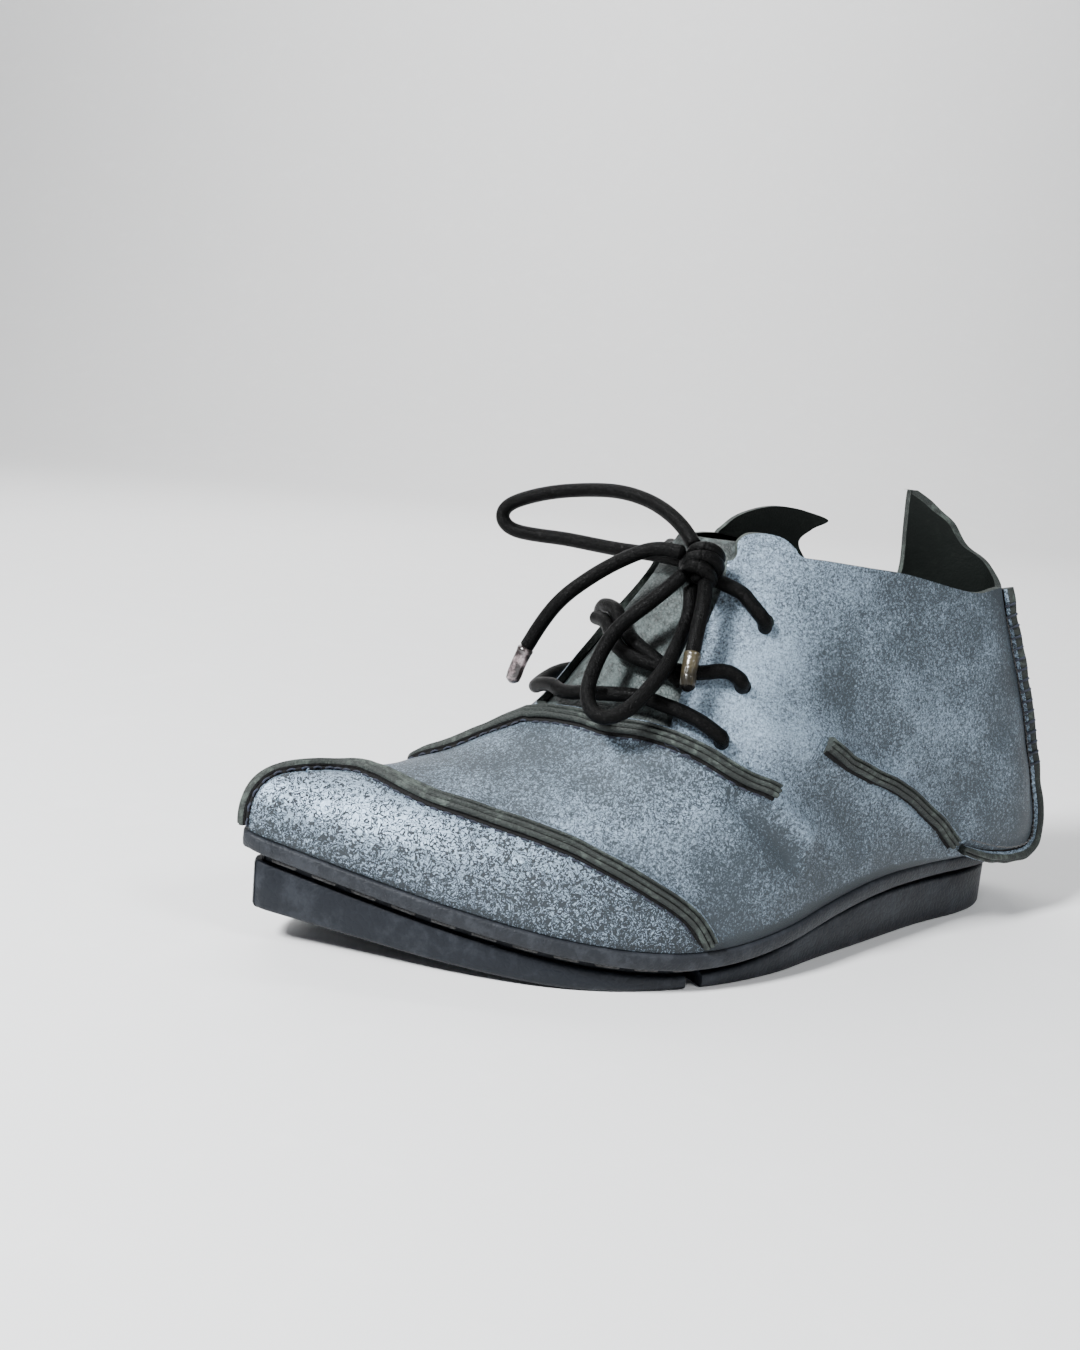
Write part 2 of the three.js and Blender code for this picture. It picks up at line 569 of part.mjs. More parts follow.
// Raised seams: two leather edges turned outwards, cut between two larger forms
const onSeam = form(SEAM_GAP, HEEL_LIFT);
const seam = (rows, width, height) => form(SEAM_GAP + height).subtract(onSeam)
  .intersect(curtain(rows, width, height));
const underSeams = plate([
  { inset: -2 * SEAM_HEIGHT - BAND_MARGIN, height: () => -HEEL_LIFT },
  { inset: -2 * SEAM_HEIGHT - BAND_MARGIN, height: footbed },
]);
const heelSeam = seam(HEEL_SEAM, HEEL_SEAM_WIDTH, HEEL_SEAM_HEIGHT).subtract(collarCut);
const toeSeam = seam(TOE_SEAM, SEAM_WIDTH, SEAM_HEIGHT).subtract(underSeams);
const vampSeam = seam(VAMP_SEAM, SEAM_WIDTH, SEAM_HEIGHT).subtract(underSeams);
const waistSeam = seam(WAIST_SEAM, SEAM_WIDTH, SEAM_HEIGHT).subtract(underSeams);

// Tongue: a thin shell just inside the upper, wider than the throat
const tongueOuter = -LEATHER - TONGUE_GAP;
const tongue = form(tongueOuter, HEEL_LIFT)
  .subtract(form(tongueOuter - TONGUE_LEATHER, 2 * HEEL_LIFT))
  .intersect(throatPrism(TONGUE_MARGIN, TONGUE_FLOOR, TONGUE_TOP));

// Laces: a bar at the lowest holes, a crossing at the middle ones, and the strands under the knot
const laceBar = strand(LACE_BAR);
const laceCross = strand(LACE_OVER).add(strand(LACE_UNDER));
const laceTop = strand(LACE_TOP);

// Sole: a thin band under the upper, and two blocks below it with a notch between them
const bandTop = (x) => footbed(x) - CLEARANCE;
const bandFoot = (x) => bandTop(x) - BAND_THICKNESS;
const midsole = plate([
  { inset: BAND_BEVEL - BAND_MARGIN, height: bandFoot },
  { inset: -BAND_MARGIN, height: (x) => bandFoot(x) + BAND_BEVEL },
  { inset: -BAND_MARGIN, height: (x) => bandTop(x) - BAND_BEVEL },
  { inset: BAND_BEVEL - BAND_MARGIN, height: bandTop },
], BAND_HEEL_INSET + BAND_MARGIN);

const blockTop = (x) => bandFoot(x) - CLEARANCE;
const recessFoot = (x) => blockTop(x) - RECESS_HEIGHT;
const blocks = plate([
  { inset: BLOCK_INSET + BLOCK_EDGE, height: tread },
  { inset: BLOCK_INSET, height: (x) => tread(x) + BLOCK_EDGE },
  { inset: BLOCK_INSET, height: recessFoot },
  { inset: RECESS_DEPTH, height: recessFoot },
  { inset: RECESS_DEPTH, height: blockTop },
]);
const notchAt = NOTCH_ALONG * SOLE_LENGTH;
const acrossSole = [[-BALL_WIDTH, -HEEL_LIFT], [BALL_WIDTH, -HEEL_LIFT], [BALL_WIDTH, 2 * TOE_LIFT],
  [-BALL_WIDTH, 2 * TOE_LIFT]];
const forefoot = blocks.intersect(prism(acrossSole, FORWARD, notchAt + NOTCH_WIDTH / 2, 2 * SOLE_LENGTH));
const heelBlock = blocks.intersect(prism(acrossSole, FORWARD, -SOLE_LENGTH, notchAt - NOTCH_WIDTH / 2));

// Insole: lies on the midsole inside the upper's open underside
const insole = plate([
  { inset: LEATHER + 2 * CLEARANCE, height: footbed },
  { inset: LEATHER + 2 * CLEARANCE, height: (x) => footbed(x) + INSOLE_THICKNESS },
]);

// Knot of the bow, a rounded lump of tightened lace
const knotBall = new THREE.SphereGeometry(1, 12, 8);
knotBall.scale(...KNOT_HALF);
knotBall.translate(...KNOT_AT);

// The pieces, each with its colour, roughness and metalness
const PIECES = [
  { name: 'upper', body: upper, color: 0x8f9aa0, roughness: 0.45, metalness: 0.4 },
  { name: 'tongue', body: tongue, color: 0x6d756c, roughness: 0.6 },
  { name: 'insole', body: insole, color: 0x1d1d1f, roughness: 0.8 },
  { name: 'toe_seam', body: toeSeam, color: 0x6d756c, roughness: 0.65 },
  { name: 'vamp_seam', body: vampSeam, color: 0x6d756c, roughness: 0.65 },
  { name: 'waist_seam', body: waistSeam, color: 0x6d756c, roughness: 0.65 },
  { name: 'heel_seam', body: heelSeam, color: 0x6d756c, roughness: 0.65 },
  { name: 'midsole', body: midsole, color: 0x53565c, roughness: 0.7 },
  { name: 'outsole_forefoot', body: forefoot, color: 0x2a2d33, roughness: 0.75 },
  { name: 'outsole_heel', body: heelBlock, color: 0x2a2d33, roughness: 0.75 },
  { name: 'lace_bar', body: laceBar, color: 0x14161b, roughness: 0.4 },
  { name: 'lace_cross', body: laceCross, color: 0x14161b, roughness: 0.4 },
  { name: 'lace_top', body: laceTop, color: 0x14161b, roughness: 0.4 },
];
const FREE_PIECES = [
  { name: 'lace_knot', body: solid(knotBall), color: 0x14161b, roughness: 0.4 },
  { name: 'lace_loop_front', body: freeCord(LOOP_FRONT), color: 0x14161b, roughness: 0.4 },
  { name: 'lace_loop_side', body: freeCord(LOOP_SIDE), color: 0x14161b, roughness: 0.4 },
  { name: 'lace_end_long', body: freeCord(END_LONG), color: 0x14161b, roughness: 0.4 },
  { name: 'lace_end_short', body: freeCord(END_SHORT), color: 0x14161b, roughness: 0.4 },
  { name: 'aglet_long', body: freeCord(AGLET_LONG), color: 0x2b2624, roughness: 0.3 },
  { name: 'aglet_short', body: freeCord(AGLET_SHORT), color: 0x4a4632, roughness: 0.3 },
];

// The shoe's own box, without the free lace, is centred over the origin and stands on the floor
const group = new THREE.Group();
function addPiece({ name, body, color, roughness, metalness = 0 }) {
  const material = new THREE.MeshStandardMaterial({ color, roughness, metalness });
  const mesh = new THREE.Mesh(geometryOf(body), material);
  mesh.name = name;
  group.add(mesh);
}
PIECES.forEach(addPiece);
const ownBox = new THREE.Box3().setFromObject(group);
const middle = ownBox.getCenter(vector(0, 0, 0));
FREE_PIECES.forEach(addPiece);
group.children.forEach((mesh) => mesh.position.set(-middle.x, -middle.y, -ownBox.min.z));

export default group;
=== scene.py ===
"""Ankle-high leather lace-up shoe for the left foot.

Lengths are written in millimetres in the last's own frame: X from the heel end, Z from the floor.
"""
import math

import bmesh
import bpy
import numpy as np
from mathutils import Matrix, Vector, kdtree, noise


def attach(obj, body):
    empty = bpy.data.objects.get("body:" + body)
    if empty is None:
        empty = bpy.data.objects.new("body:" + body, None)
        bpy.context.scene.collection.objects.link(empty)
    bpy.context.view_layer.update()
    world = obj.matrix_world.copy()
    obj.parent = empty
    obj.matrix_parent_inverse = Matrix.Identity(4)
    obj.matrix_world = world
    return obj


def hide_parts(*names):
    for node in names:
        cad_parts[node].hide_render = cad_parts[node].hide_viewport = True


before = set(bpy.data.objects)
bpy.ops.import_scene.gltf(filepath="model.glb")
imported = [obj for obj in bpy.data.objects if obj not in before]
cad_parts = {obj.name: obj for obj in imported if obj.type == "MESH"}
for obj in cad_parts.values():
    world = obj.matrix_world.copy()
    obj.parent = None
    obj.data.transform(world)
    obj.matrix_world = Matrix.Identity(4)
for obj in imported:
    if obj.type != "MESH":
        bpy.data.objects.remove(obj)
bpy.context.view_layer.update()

# Driving sizes of the shoe, in millimetres
SOLE_LENGTH = 258.0
BALL_WIDTH = 96.0
INSTEP_HEIGHT = 69.0
COLLAR_HEIGHT = 116.0
LEG_HEIGHT = COLLAR_HEIGHT - INSTEP_HEIGHT
HEEL_LIFT = 22.0
BALL_LIFT = 11.5
TOE_LIFT = 32.0
TOE_SPRING = 10.5
LEATHER = 2.0
TONGUE_LEATHER = 1.8
TONGUE_GAP = 0.4
LACE = 4.2
HOLE = 4.6
HALF_CENTRE = 0.5
METRE = 0.001

# Where the last's frame lies in the shared frame
ORIGIN = np.array([126.2313, 7.2730, 0.0])

# Shape of the sole's side
HEEL_SEAT_END = 0.26
BALL_ALONG = 0.59
TREAD_BREAK = 0.69
TOE_CURVE = 1.6
TREAD_CURVE = 1.5
HEEL_TAPER_END = 0.35
BAND_THICKNESS = 4.5
BAND_MARGIN = 1.2
BAND_HEEL_INSET = 1.6
GAP = 0.3
RECESS_DEPTH = 4.5
RECESS_HEIGHT = 2.6
BLOCK_INSET = 2.2
NOTCH_ALONG = 0.582
NOTCH_WIDTH = 5.0

# Spacing of points along seams, laces and threads
SEAM_STEP = 1.2
LACE_STEP = 0.8
THREAD_STEP = 0.5

# Camera of the photograph, in the last's frame
CAMERA_AT = (352.41, 347.706, 150.768)
CAMERA_RIGHT = (-0.89812265, 0.43029997, 0.09065119)
CAMERA_UP = (-0.00267854, -0.21149413, 0.9773756)
CAMERA_BACK = (0.43973688, 0.87756035, 0.19110024)
FOCAL_PIXELS = 1399.83
PHOTO_HEIGHT = 1350.0
SENSOR = 36.0


def table(text):
    """Columns by name from rows of numbers under a line of names."""
    lines = [line.split() for line in text.strip().splitlines()]
    return {name: np.array([float(row[k]) for row in lines[1:]]) for k, name in enumerate(lines[0])}


def route(text):
    """Points of a free line, three numbers each."""
    return np.array(text.split(), float).reshape(-1, 3)


# Ribs of the last, from the heel to the toe, as shares of the driving sizes
RIBS = table("""
along out inn crest crest_out crest_in instep leg flare side crown drop
0.012 0 0 0.093 0 0 1 1.511 0.35 -0.11 0.3 0.44
0.02 0.094 0.083 0.101 0.055 0.057 1 1.511 0.32 -0.11 0.3 0.44
0.05 0.2 0.188 0.124 0.104 0.115 1 1.511 0.24 -0.09 0.25 0.44
0.105 0.268 0.256 0.174 0.158 0.182 1 1.511 0.15 -0.02 0.2 0.42
0.2 0.318 0.296 0.244 0.198 0.229 1 1.511 0.07 0.14 0.2 0.4
0.3 0.392 0.302 0.318 0.206 0.24 1 1.511 0.01 0.25 0.25 0.36
0.39 0.466 0.31 0.385 0.19 0.224 1 1.511 -0.01 0.28 0.3 0.36
0.46 0.53 0.334 0.438 0.145 0.185 1 1.444 -0.01 0.29 0.32 0.36
0.52 0.562 0.364 0.482 0.08 0.11 1 1.271 0 0.3 0.36 0.32
0.57 0.57 0.39 0.538 0.01 0.066 1 0.951 0.005 0.31 0.4 0.24
0.62 0.562 0.41 0.598 -0.025 0.046 1 0.494 0.01 0.34 0.42 0.16
0.68 0.528 0.42 0.666 -0.035 0.038 0.995 0 0.012 0.42 0.44 0.1
0.75 0.446 0.414 0.738 -0.028 0.03 0.807 0 0.014 0.5 0.52 0.06
0.83 0.306 0.376 0.812 -0.02 0.02 0.713 0 0.014 0.58 0.6 0.03
0.905 0.15 0.3 0.878 -0.035 0.035 0.689 0 0.012 0.62 0.62 0.02
0.96 0.04 0.208 0.916 -0.04 0.04 0.693 0 0.01 0.64 0.66 0
0.99 -0.016 0.124 0.934 -0.044 0.044 0.694 0 0.008 0.64 0.7 0
1 -0.056 0.056 0.942 -0.048 0.048 0.694 0 0.008 0.64 0.72 0
""")
LAST_RIB = len(RIBS["along"]) - 1
OUTER_TOP = table("""
along top
0 0.91
0.098 0.912
0.145 0.903
0.187 0.914
0.23 0.932
0.282 0.953
0.325 0.963
0.389 0.977
0.425 0.984
0.434 1.004
0.445 1.024
0.46 1.032
0.477 1.028
0.489 1.008
0.5 0.96
0.56 0.94
""")
INNER_TOP = table("""
along top
-0.06 1.17
0.15 1.17
0.158 1.154
0.161 1.14
0.156 1.045
0.148 0.931
0.152 0.885
0.175 0.852
0.21 0.846
0.25 0.872
0.282 0.925
0.301 0.981
0.284 1.018
0.262 1.046
0.297 1.068
0.327 1.077
0.356 1.076
0.385 1.062
0.408 1.042
0.428 1.01
0.45 0.985
0.56 0.975
""")
BACK_TOP = table("""
across top
0.11 0.912
0.09 0.912
0.05 0.935
-0.017 0.978
-0.075 1.008
-0.104 1.067
-0.127 1.096
-0.144 1.125
-0.165 1.154
-0.18 1.175
""")
THROAT = table("""
leg out inn
-0.04 0.322 0.117
0.082 0.297 0.11
0.223 0.269 0.105
0.474 0.216 0.1
0.691 0.183 0.098
0.783 0.172 0.096
1.02 0.133 0.094
""")
TOE_SEAM = table("""
place across
16.6 -1.02
16.62 -0.8
16.35 -0.5
15.7 -0.27
15 -0.2
14.3 -0.14
13.75 0.1
13.2 0.32
12.5 0.46
11.8 0.58
11.05 0.7
10.35 0.8
9.5 0.9
8.9 1.02
""")
VAMP_SEAM = table("""
place across
11.7 -1.02
11.95 -0.8
12.3 -0.6
12.55 -0.4
12.3 -0.24
11.75 -0.14
11.35 0
10.85 0.2
10.5 0.32
9.8 0.44
8.8 0.56
7.6 0.66
""")
WAIST_SEAM = table("""
place across
6.3 0.595
5.5 0.68
4.75 0.74
4.2 0.8
3.95 0.84
""")
HEEL_SEAM = table("""
place across
1.15 0.12
1.25 0.32
1.2 0.44
1.15 0.54
1.2 0.64
1.4 0.73
1.8 0.83
2.45 0.89
3.05 0.91
3.65 0.9
""")
HOLES = table("""
place across
8.7 0.52
8.15 0.42
7.55 0.3
9.3 -0.44
8.5 -0.36
7.8 -0.27
""")
LACE_BAR = table("""
place across lift
8.72 0.52 0.74
8.95 0.49 0.8
9.6 0.4 0.9
9.95 0.34 0.95
10.35 0.26 1.05
10.6 0.19 1.05
10.9 0.07 0.95
10.92 -0.12 0.85
10.6 -0.26 0.8
10 -0.36 0.78
9.32 -0.43 0.74
""")
LACE_OVER = table("""
place across lift
8.2 0.42 0.74
8.5 0.385 0.76
9.05 0.36 0.76
9.5 0.31 0.76
9.85 0.24 0.74
10.1 0.14 0.72
10.1 -0.02 0.72
""")
LACE_UNDER = table("""
place across lift
8.52 -0.36 0.74
9.1 -0.28 0.76
9.75 -0.14 0.76
9.95 0.02 0.72
9.9 0.16 0.72
9.62 0.28 0.74
9.35 0.36 0.8
""")
LACE_TOP = table("""
place across lift
7.6 0.31 0.74
7.95 0.25 0.78
8.3 0.17 0.8
8.45 0.08 0.8
8.38 -0.04 0.8
8.15 -0.15 0.78
7.82 -0.25 0.74
""")
# Free loops and ends of the bow, and their shrunk tips
LOOP_FRONT = route("""
146 18 107.2    149.6 17.4 103.6    155 15.6 98.2    162.6 13.4 91    170.2 16.8 80.9
174.8 22.6 73.3    174 29.1 69.4    168.7 33 72    162.2 32.2 77.4    155.5 29.8 83.4
148.6 24.6 90.6    144 20.8 97.4    142.6 17.6 103.4
""")
LOOP_SIDE = route("""
140.4 13.4 115.3    141.2 8.6 119.2    142.8 2.6 122.6    145.6 -6 125.6    150.6 -14 127
156.8 -23 126.3    164.9 -31 124.3    171.8 -37 121.2    175.4 -40 118.6    176.4 -40.6 115.6
174.4 -38.6 112.4    169.2 -32.8 111.4    161.9 -25 111.3    152 -11 110.5    144.6 1 110.6
140.6 10.9 110.2
""")
END_LONG = route("""
145.6 15.6 113.2    150.2 9 113.4    157.2 3 109    164.7 -0.6 103.3    172 -4 96
176.1 -7 88.2    178.8 -8.8 81.6
""")
AGLET_LONG = route("""
179 -9 80.9    180.6 -9.7 76.1    181.8 -10.2 71.6
""")
END_SHORT = route("""
141.3 22.8 105.9    143.2 26 101.4    145.7 28.6 95.4    147.9 30.8 90    148.4 31.4 88.4
""")
AGLET_SHORT = route("""
148.6 31.7 87.7    150 33.1 84    151 34.6 79
""")


# Shape of the last
def column(rows, name, place):
    """Smooth value of one column at a fractional row number."""
    values = rows[name]
    last = len(values) - 1
    place = np.asarray(place, float)
    row = np.clip(np.floor(place), 0, last - 1).astype(int)
    share = place - row
    before, start, end, after = (values[np.clip(row + k, 0, last)] for k in (-1, 0, 1, 2))
    cubic = -before + 3 * start - 3 * end + after
    square = 2 * before - 5 * start + 4 * end - after
    return 0.5 * (2 * start + (end - before) * share + square * share**2 + cubic * share**3)


def smooth(share):
    share = np.clip(share, 0, 1)
    return share * share * (3 - 2 * share)


def unit(vectors):
    return vectors / np.linalg.norm(vectors, axis=-1, keepdims=True)


def distances(line):
    """Distance along a line at each of its points."""
    return np.concatenate([[0], np.cumsum(np.linalg.norm(np.diff(line, axis=0), axis=1))])


def hand_of(across):
    """1 on the outer side of the shoe and -1 on the inner side."""
    return np.where(across < 0, -1.0, 1.0)


def footbed(x):
    """Height of the sole's upper face."""
    along = x / SOLE_LENGTH
    waist = smooth((along - HEEL_SEAT_END) / (BALL_ALONG - HEEL_SEAT_END))
    spring = np.clip((along - BALL_ALONG) / (1 - BALL_ALONG), 0, 1) ** TOE_CURVE
    return HEEL_LIFT + (BALL_LIFT - HEEL_LIFT) * waist + (TOE_LIFT - BALL_LIFT) * spring


def tread(x):
    """Height of the underside, flat on the floor and rising at the toe."""
    return TOE_SPRING * np.clip((x / SOLE_LENGTH - TREAD_BREAK) / (1 - TREAD_BREAK), 0, 1) ** TREAD_CURVE


def fold(place, hand):
    """Past the heel or the toe a rib is the one on the other side."""
    place, hand = np.broadcast_arrays(np.asarray(place, float), np.asarray(hand, float))
    past = (place < 0) | (place > LAST_RIB)
    folded = np.where(place < 0, -place, np.where(place > LAST_RIB, 2 * LAST_RIB - place, place))
    return folded, np.where(past, -hand, hand)


def by_hand(hand, outer, inner, place):
    return np.where(hand > 0, column(RIBS, outer, place), column(RIBS, inner, place))


def foot_point(place, hand):
    place, hand = fold(place, hand)
    x = SOLE_LENGTH * column(RIBS, "along", place)
    y = hand * BALL_WIDTH * by_hand(hand, "out", "inn", place)
    return np.stack([x, y, footbed(x)], -1)


def rib_foot(place, hand):
    """Foot of a rib, with its outward direction."""
    run = foot_point(place + 0.2, hand) - foot_point(place - 0.2, hand)
    outward = np.stack([-run[..., 1] * hand, run[..., 0] * hand, np.zeros_like(run[..., 0])], -1)
    return foot_point(place, hand), unit(outward)


def rib_point(place, hand, share):
    """Point on the outside of the shoe, share 0 at the sole and 1 at the crest."""
    place, hand, share = np.broadcast_arrays(*(np.asarray(v, float) for v in (place, hand, share)))
    foot, outward = rib_foot(place, hand)
    along, instep, leg, flare, side, crown, drop = (
        column(RIBS, name, place) for name in ("crest", "instep", "leg", "flare", "side", "crown", "drop"))
    wide = hand * BALL_WIDTH * by_hand(hand, "crest_out", "crest_in", place)
    crest = np.stack([SOLE_LENGTH * along, wide, INSTEP_HEIGHT * instep + LEG_HEIGHT * leg], -1)
    rise = crest[..., 2] - foot[..., 2]
    lower = foot + outward * (BALL_WIDTH * flare)[..., None]
    lower[..., 2] += rise * side
    upper = crest + (foot - crest) * crown[..., None]
    upper[..., 2] = crest[..., 2] - rise * drop
    t = share[..., None]
    return foot * (1 - t)**3 + 3 * lower * t * (1 - t)**2 + 3 * upper * t * t * (1 - t) + crest * t**3


def rib_normal(place, hand, share):
    """Outward direction of the surface at a point of a rib."""
    place, hand, share = np.broadcast_arrays(*(np.asarray(v, float) for v in (place, hand, share)))
    ahead, ahead_hand = fold(place + 0.1, hand)
    behind, behind_hand = fold(place - 0.1, hand)
    along = rib_point(ahead, ahead_hand, share) - rib_point(behind, behind_hand, share)
    along[..., 1] += (ahead_hand - behind_hand) * HALF_CENTRE
    climb = rib_point(place, hand, np.minimum(1, share + 0.02))
    climb = climb - rib_point(place, hand, np.maximum(0, share - 0.02))
    return unit(np.cross(climb, along) * hand[..., None])


def share_up(across):
    """Share up a rib, from a signed share across the shoe that is 0 at the crest."""
    return np.maximum(0, 1 - np.abs(across))


def bare_point(place, across):
    """Point of the smooth last at a signed share across the shoe."""
    return rib_point(place, hand_of(across), share_up(across))


def on_leather(place, across, lift=0.0):
    """Points at a signed share across the shoe, lifted off the leather, and their outward directions."""
    across = np.asarray(across, float)
    hand = hand_of(across)
    point = bare_point(place, across)
    normal = rib_normal(place, hand, share_up(across))
    point[..., 1] += hand * HALF_CENTRE
    return point + normal * (relief(point) + lift)[..., None], normal


def spot_on(place, across):
    """One point on the leather and its outward direction."""
    point, normal = on_leather(np.array([place]), np.array([across]))
    return point[0], normal[0]


def seam_rows(rows):
    """Fine places and shares along a seam's table."""
    last = len(rows["place"]) - 1
    fine = np.linspace(0, last, 60 * last)
    place, across = column(rows, "place", fine), column(rows, "across", fine)
    far = distances(bare_point(place, across))
    even = np.linspace(0, far[-1], max(4, int(far[-1] / SEAM_STEP)))
    return np.interp(even, far, place), np.interp(even, far, across)


# Creases of the worn leather: soft troughs and ridges between two points of the surface
CREASES = table("""
from_place from_across to_place to_across width depth
7.75 0.645 6.76 0.796 3.6 1.9
8.34 0.66 7.15 0.815 4.5 -1.9
7.6 0.56 6.1 0.597 5 1.3
6.9 0.47 5.5 0.51 8 -0.9
5.95 0.65 4.2 0.83 4.5 1.1
6.6 0.7 5.6 0.84 6 -1
6.2 0.4 5 0.62 9 -0.8
5.6 0.25 4.6 0.5 10 0.7
12.6 0.3 11.4 0.46 6 0.6
13.6 0 12.8 0.26 5 -0.6
11.9 0.18 10.6 0.52 7 -0.5
3.9 0.5 3 0.7 9 -0.7
2.4 0.25 2.1 0.6 8 0.6
10.2 -0.6 9 -0.8 6 -0.8
8.4 -0.55 7.2 -0.72 7 -0.7
5.8 -0.45 4.6 -0.66 9 -0.8
3.4 -0.4 2.6 -0.66 9 -0.6
13.2 -0.4 12.2 -0.66 7 -0.6
""")


CREASE_FROM = bare_point(CREASES["from_place"], CREASES["from_across"])
CREASE_TO = bare_point(CREASES["to_place"], CREASES["to_across"])
WAVE_LENGTH = 26.0
RIPPLE_LENGTH = 10.0
RIPPLE = 0.28


def relief(point):
    """Height of the creases and of the leather's slow waves at points, in millimetres."""
    height = np.zeros(point.shape[:-1])
    for start, end, width, depth in zip(CREASE_FROM, CREASE_TO, CREASES["width"], CREASES["depth"]):
        line = end - start
        share = np.clip((point - start) @ line / (line @ line), 0, 1)
        away = np.linalg.norm(point - start - share[..., None] * line, axis=-1)
        height += depth * np.exp(-((away / width) ** 2))
    flat = point.reshape(-1, 3)
    waves = [
        noise.noise(Vector(p) / WAVE_LENGTH) + noise.noise(Vector(p) / RIPPLE_LENGTH) * RIPPLE for p in flat
    ]
    return height + np.array(waves).reshape(height.shape)


# Meshes
def to_frame(points):
    """Millimetres in the last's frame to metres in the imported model's frame."""
    return (np.asarray(points, float) - ORIGIN) * METRE


def mesh_object(name, points, faces, materials, indices=None):
    """A mesh from points in millimetres, with its materials and each face's material number."""
    mesh = bpy.data.meshes.new(name)
    mesh.from_pydata([tuple(p) for p in to_frame(points)], [], faces)
    mesh.validate()
    for material in materials:
        mesh.materials.append(material)
    if indices is not None:
        mesh.polygons.foreach_set("material_index", indices)
    mesh.polygons.foreach_set("use_smooth", [True] * len(mesh.polygons))
    piece = bpy.data.objects.new(name, mesh)
    bpy.context.collection.objects.link(piece)
    return piece


def face_outwards(piece):
    shape = bmesh.new()
    shape.from_mesh(piece.data)
    bmesh.ops.recalc_face_normals(shape, faces=shape.faces)
    shape.to_mesh(piece.data)
    shape.free()
    return piece


def loft_faces(rows, around, close_ends=True):
    """Faces of a tube of rings; the ends are closed between each ring's two halves."""
    faces = []
    for row in range(rows - 1):
        for step in range(around):
            after = (step + 1) % around
            base = row * around
            faces.append((base + step, base + after, base + around + after, base + around + step))
    if close_ends:
        for base in (0, (rows - 1) * around):
            for step in range(around // 2 - 1):
                twin = around - 1 - step
                faces.append((base + step, base + twin, base + twin - 1, base + step + 1))
    return faces


def between(first, last, start, end, t):
    return first * (end - t) / (end - start) + last * (t - start) / (end - start)


def curve_through(points, spacing):
    """Evenly spaced points along a smooth centripetal curve through given points."""
    points = np.asarray(points, float)
    ends = [2 * points[0] - points[1], *points, 2 * points[-1] - points[-2]]
    line = []
    for p0, p1, p2, p3 in zip(ends, ends[1:], ends[2:], ends[3:]):
        t1 = np.linalg.norm(p1 - p0) ** 0.5
        t2 = t1 + np.linalg.norm(p2 - p1) ** 0.5
        t3 = t2 + np.linalg.norm(p3 - p2) ** 0.5
        for t in np.linspace(t1, t2, 24, endpoint=False):
            a1 = between(p0, p1, 0, t1, t)
            a2 = between(p1, p2, t1, t2, t)
            a3 = between(p2, p3, t2, t3, t)
            b1 = between(a1, a2, 0, t2, t)
            b2 = between(a2, a3, t1, t3, t)
            line.append(between(b1, b2, t1, t2, t))
    line = np.array([*line, points[-1]])
    far = distances(line)
    even = np.linspace(0, far[-1], max(3, int(round(far[-1] / spacing)) + 1))
    return np.stack([np.interp(even, far, line[:, k]) for k in range(3)], -1)


# Rings of a tube's domed end, as shares of its radius, and the dome's rise
DOME_SHARES = (0.35, 0.75, 0.95)
DOME_RISE = 0.6


def tube_parts(line, radii, sides):
    """Points and faces of a round tube along a line, with domed ends."""
    line = np.asarray(line, float)
    radii = np.broadcast_to(np.asarray(radii, float), (len(line),)).copy()
    runs = unit(np.gradient(line, axis=0))
    side = np.cross(runs[0], [0, 0, 1.0])
    if np.linalg.norm(side) < 0.2:
        side = np.cross(runs[0], [0, 1.0, 0])
    rings = []
    turn = np.linspace(0, 2 * math.pi, sides, endpoint=False)
    for k, (point, run) in enumerate(zip(line, runs)):
        side = unit(side - run * (side @ run))
        ring = (np.outer(np.cos(turn), side) + np.outer(np.sin(turn), np.cross(run, side))) * radii[k]
        rise = run * radii[k] * DOME_RISE
        if k == 0:
            rings += [point - rise * (1 - share**2) + ring * share for share in DOME_SHARES]
        rings.append(point + ring)
        if k == len(line) - 1:
            rings += [point + rise * (1 - share**2) + ring * share for share in DOME_SHARES[::-1]]
    points = np.concatenate(rings)
    rows = len(rings)
    faces = loft_faces(rows, sides, close_ends=False)
    faces.append(tuple(range(sides))[::-1])
    faces.append(tuple((rows - 1) * sides + k for k in range(sides)))
    return points, faces


def joined(name, parts, material):
    """One mesh from many lists of points and faces."""
    faces, base = [], 0
    for points, part_faces in parts:
        faces.extend(tuple(base + k for k in face) for face in part_faces)
        base += len(points)
    points = np.concatenate([points for points, _ in parts])
    return face_outwards(mesh_object(name, points, faces, [material]))


def prism(outline, axes, start, end):
    """Closed prism of an outline: axes says which way its across, up and depth run."""
    across, up, depth = (np.array(axis, float) for axis in axes)
    count = len(outline)
    points = [a * across + u * up + far * depth for far in (start, end) for a, u in outline]
    faces = [(k, (k + 1) % count, count + (k + 1) % count, count + k) for k in range(count)]
    faces += [tuple(range(count))[::-1], tuple(range(count, 2 * count))]
    return points, faces


SIDEWAYS = ((1, 0, 0), (0, 0, 1), (0, 1, 0))
LENGTHWAYS = ((0, 1, 0), (0, 0, 1), (1, 0, 0))


# Number of the material that finishes cut faces
CUT_FACE = 2


def combine(piece, tool, operation):
    """Boolean of two closed pieces; the tool is used up."""
    trim = piece.modifiers.new("trim", "BOOLEAN")
    trim.operation = operation
    trim.solver = "MANIFOLD"
    trim.object = tool
    bpy.context.view_layer.update()
    shape = bpy.data.meshes.new_from_object(piece.evaluated_get(bpy.context.evaluated_depsgraph_get()))
    piece.modifiers.clear()
    piece.data = shape
    bpy.data.objects.remove(tool)


def cutter(points, faces, materials):
    return face_outwards(mesh_object("cutter", points, faces, materials, [CUT_FACE] * len(faces)))


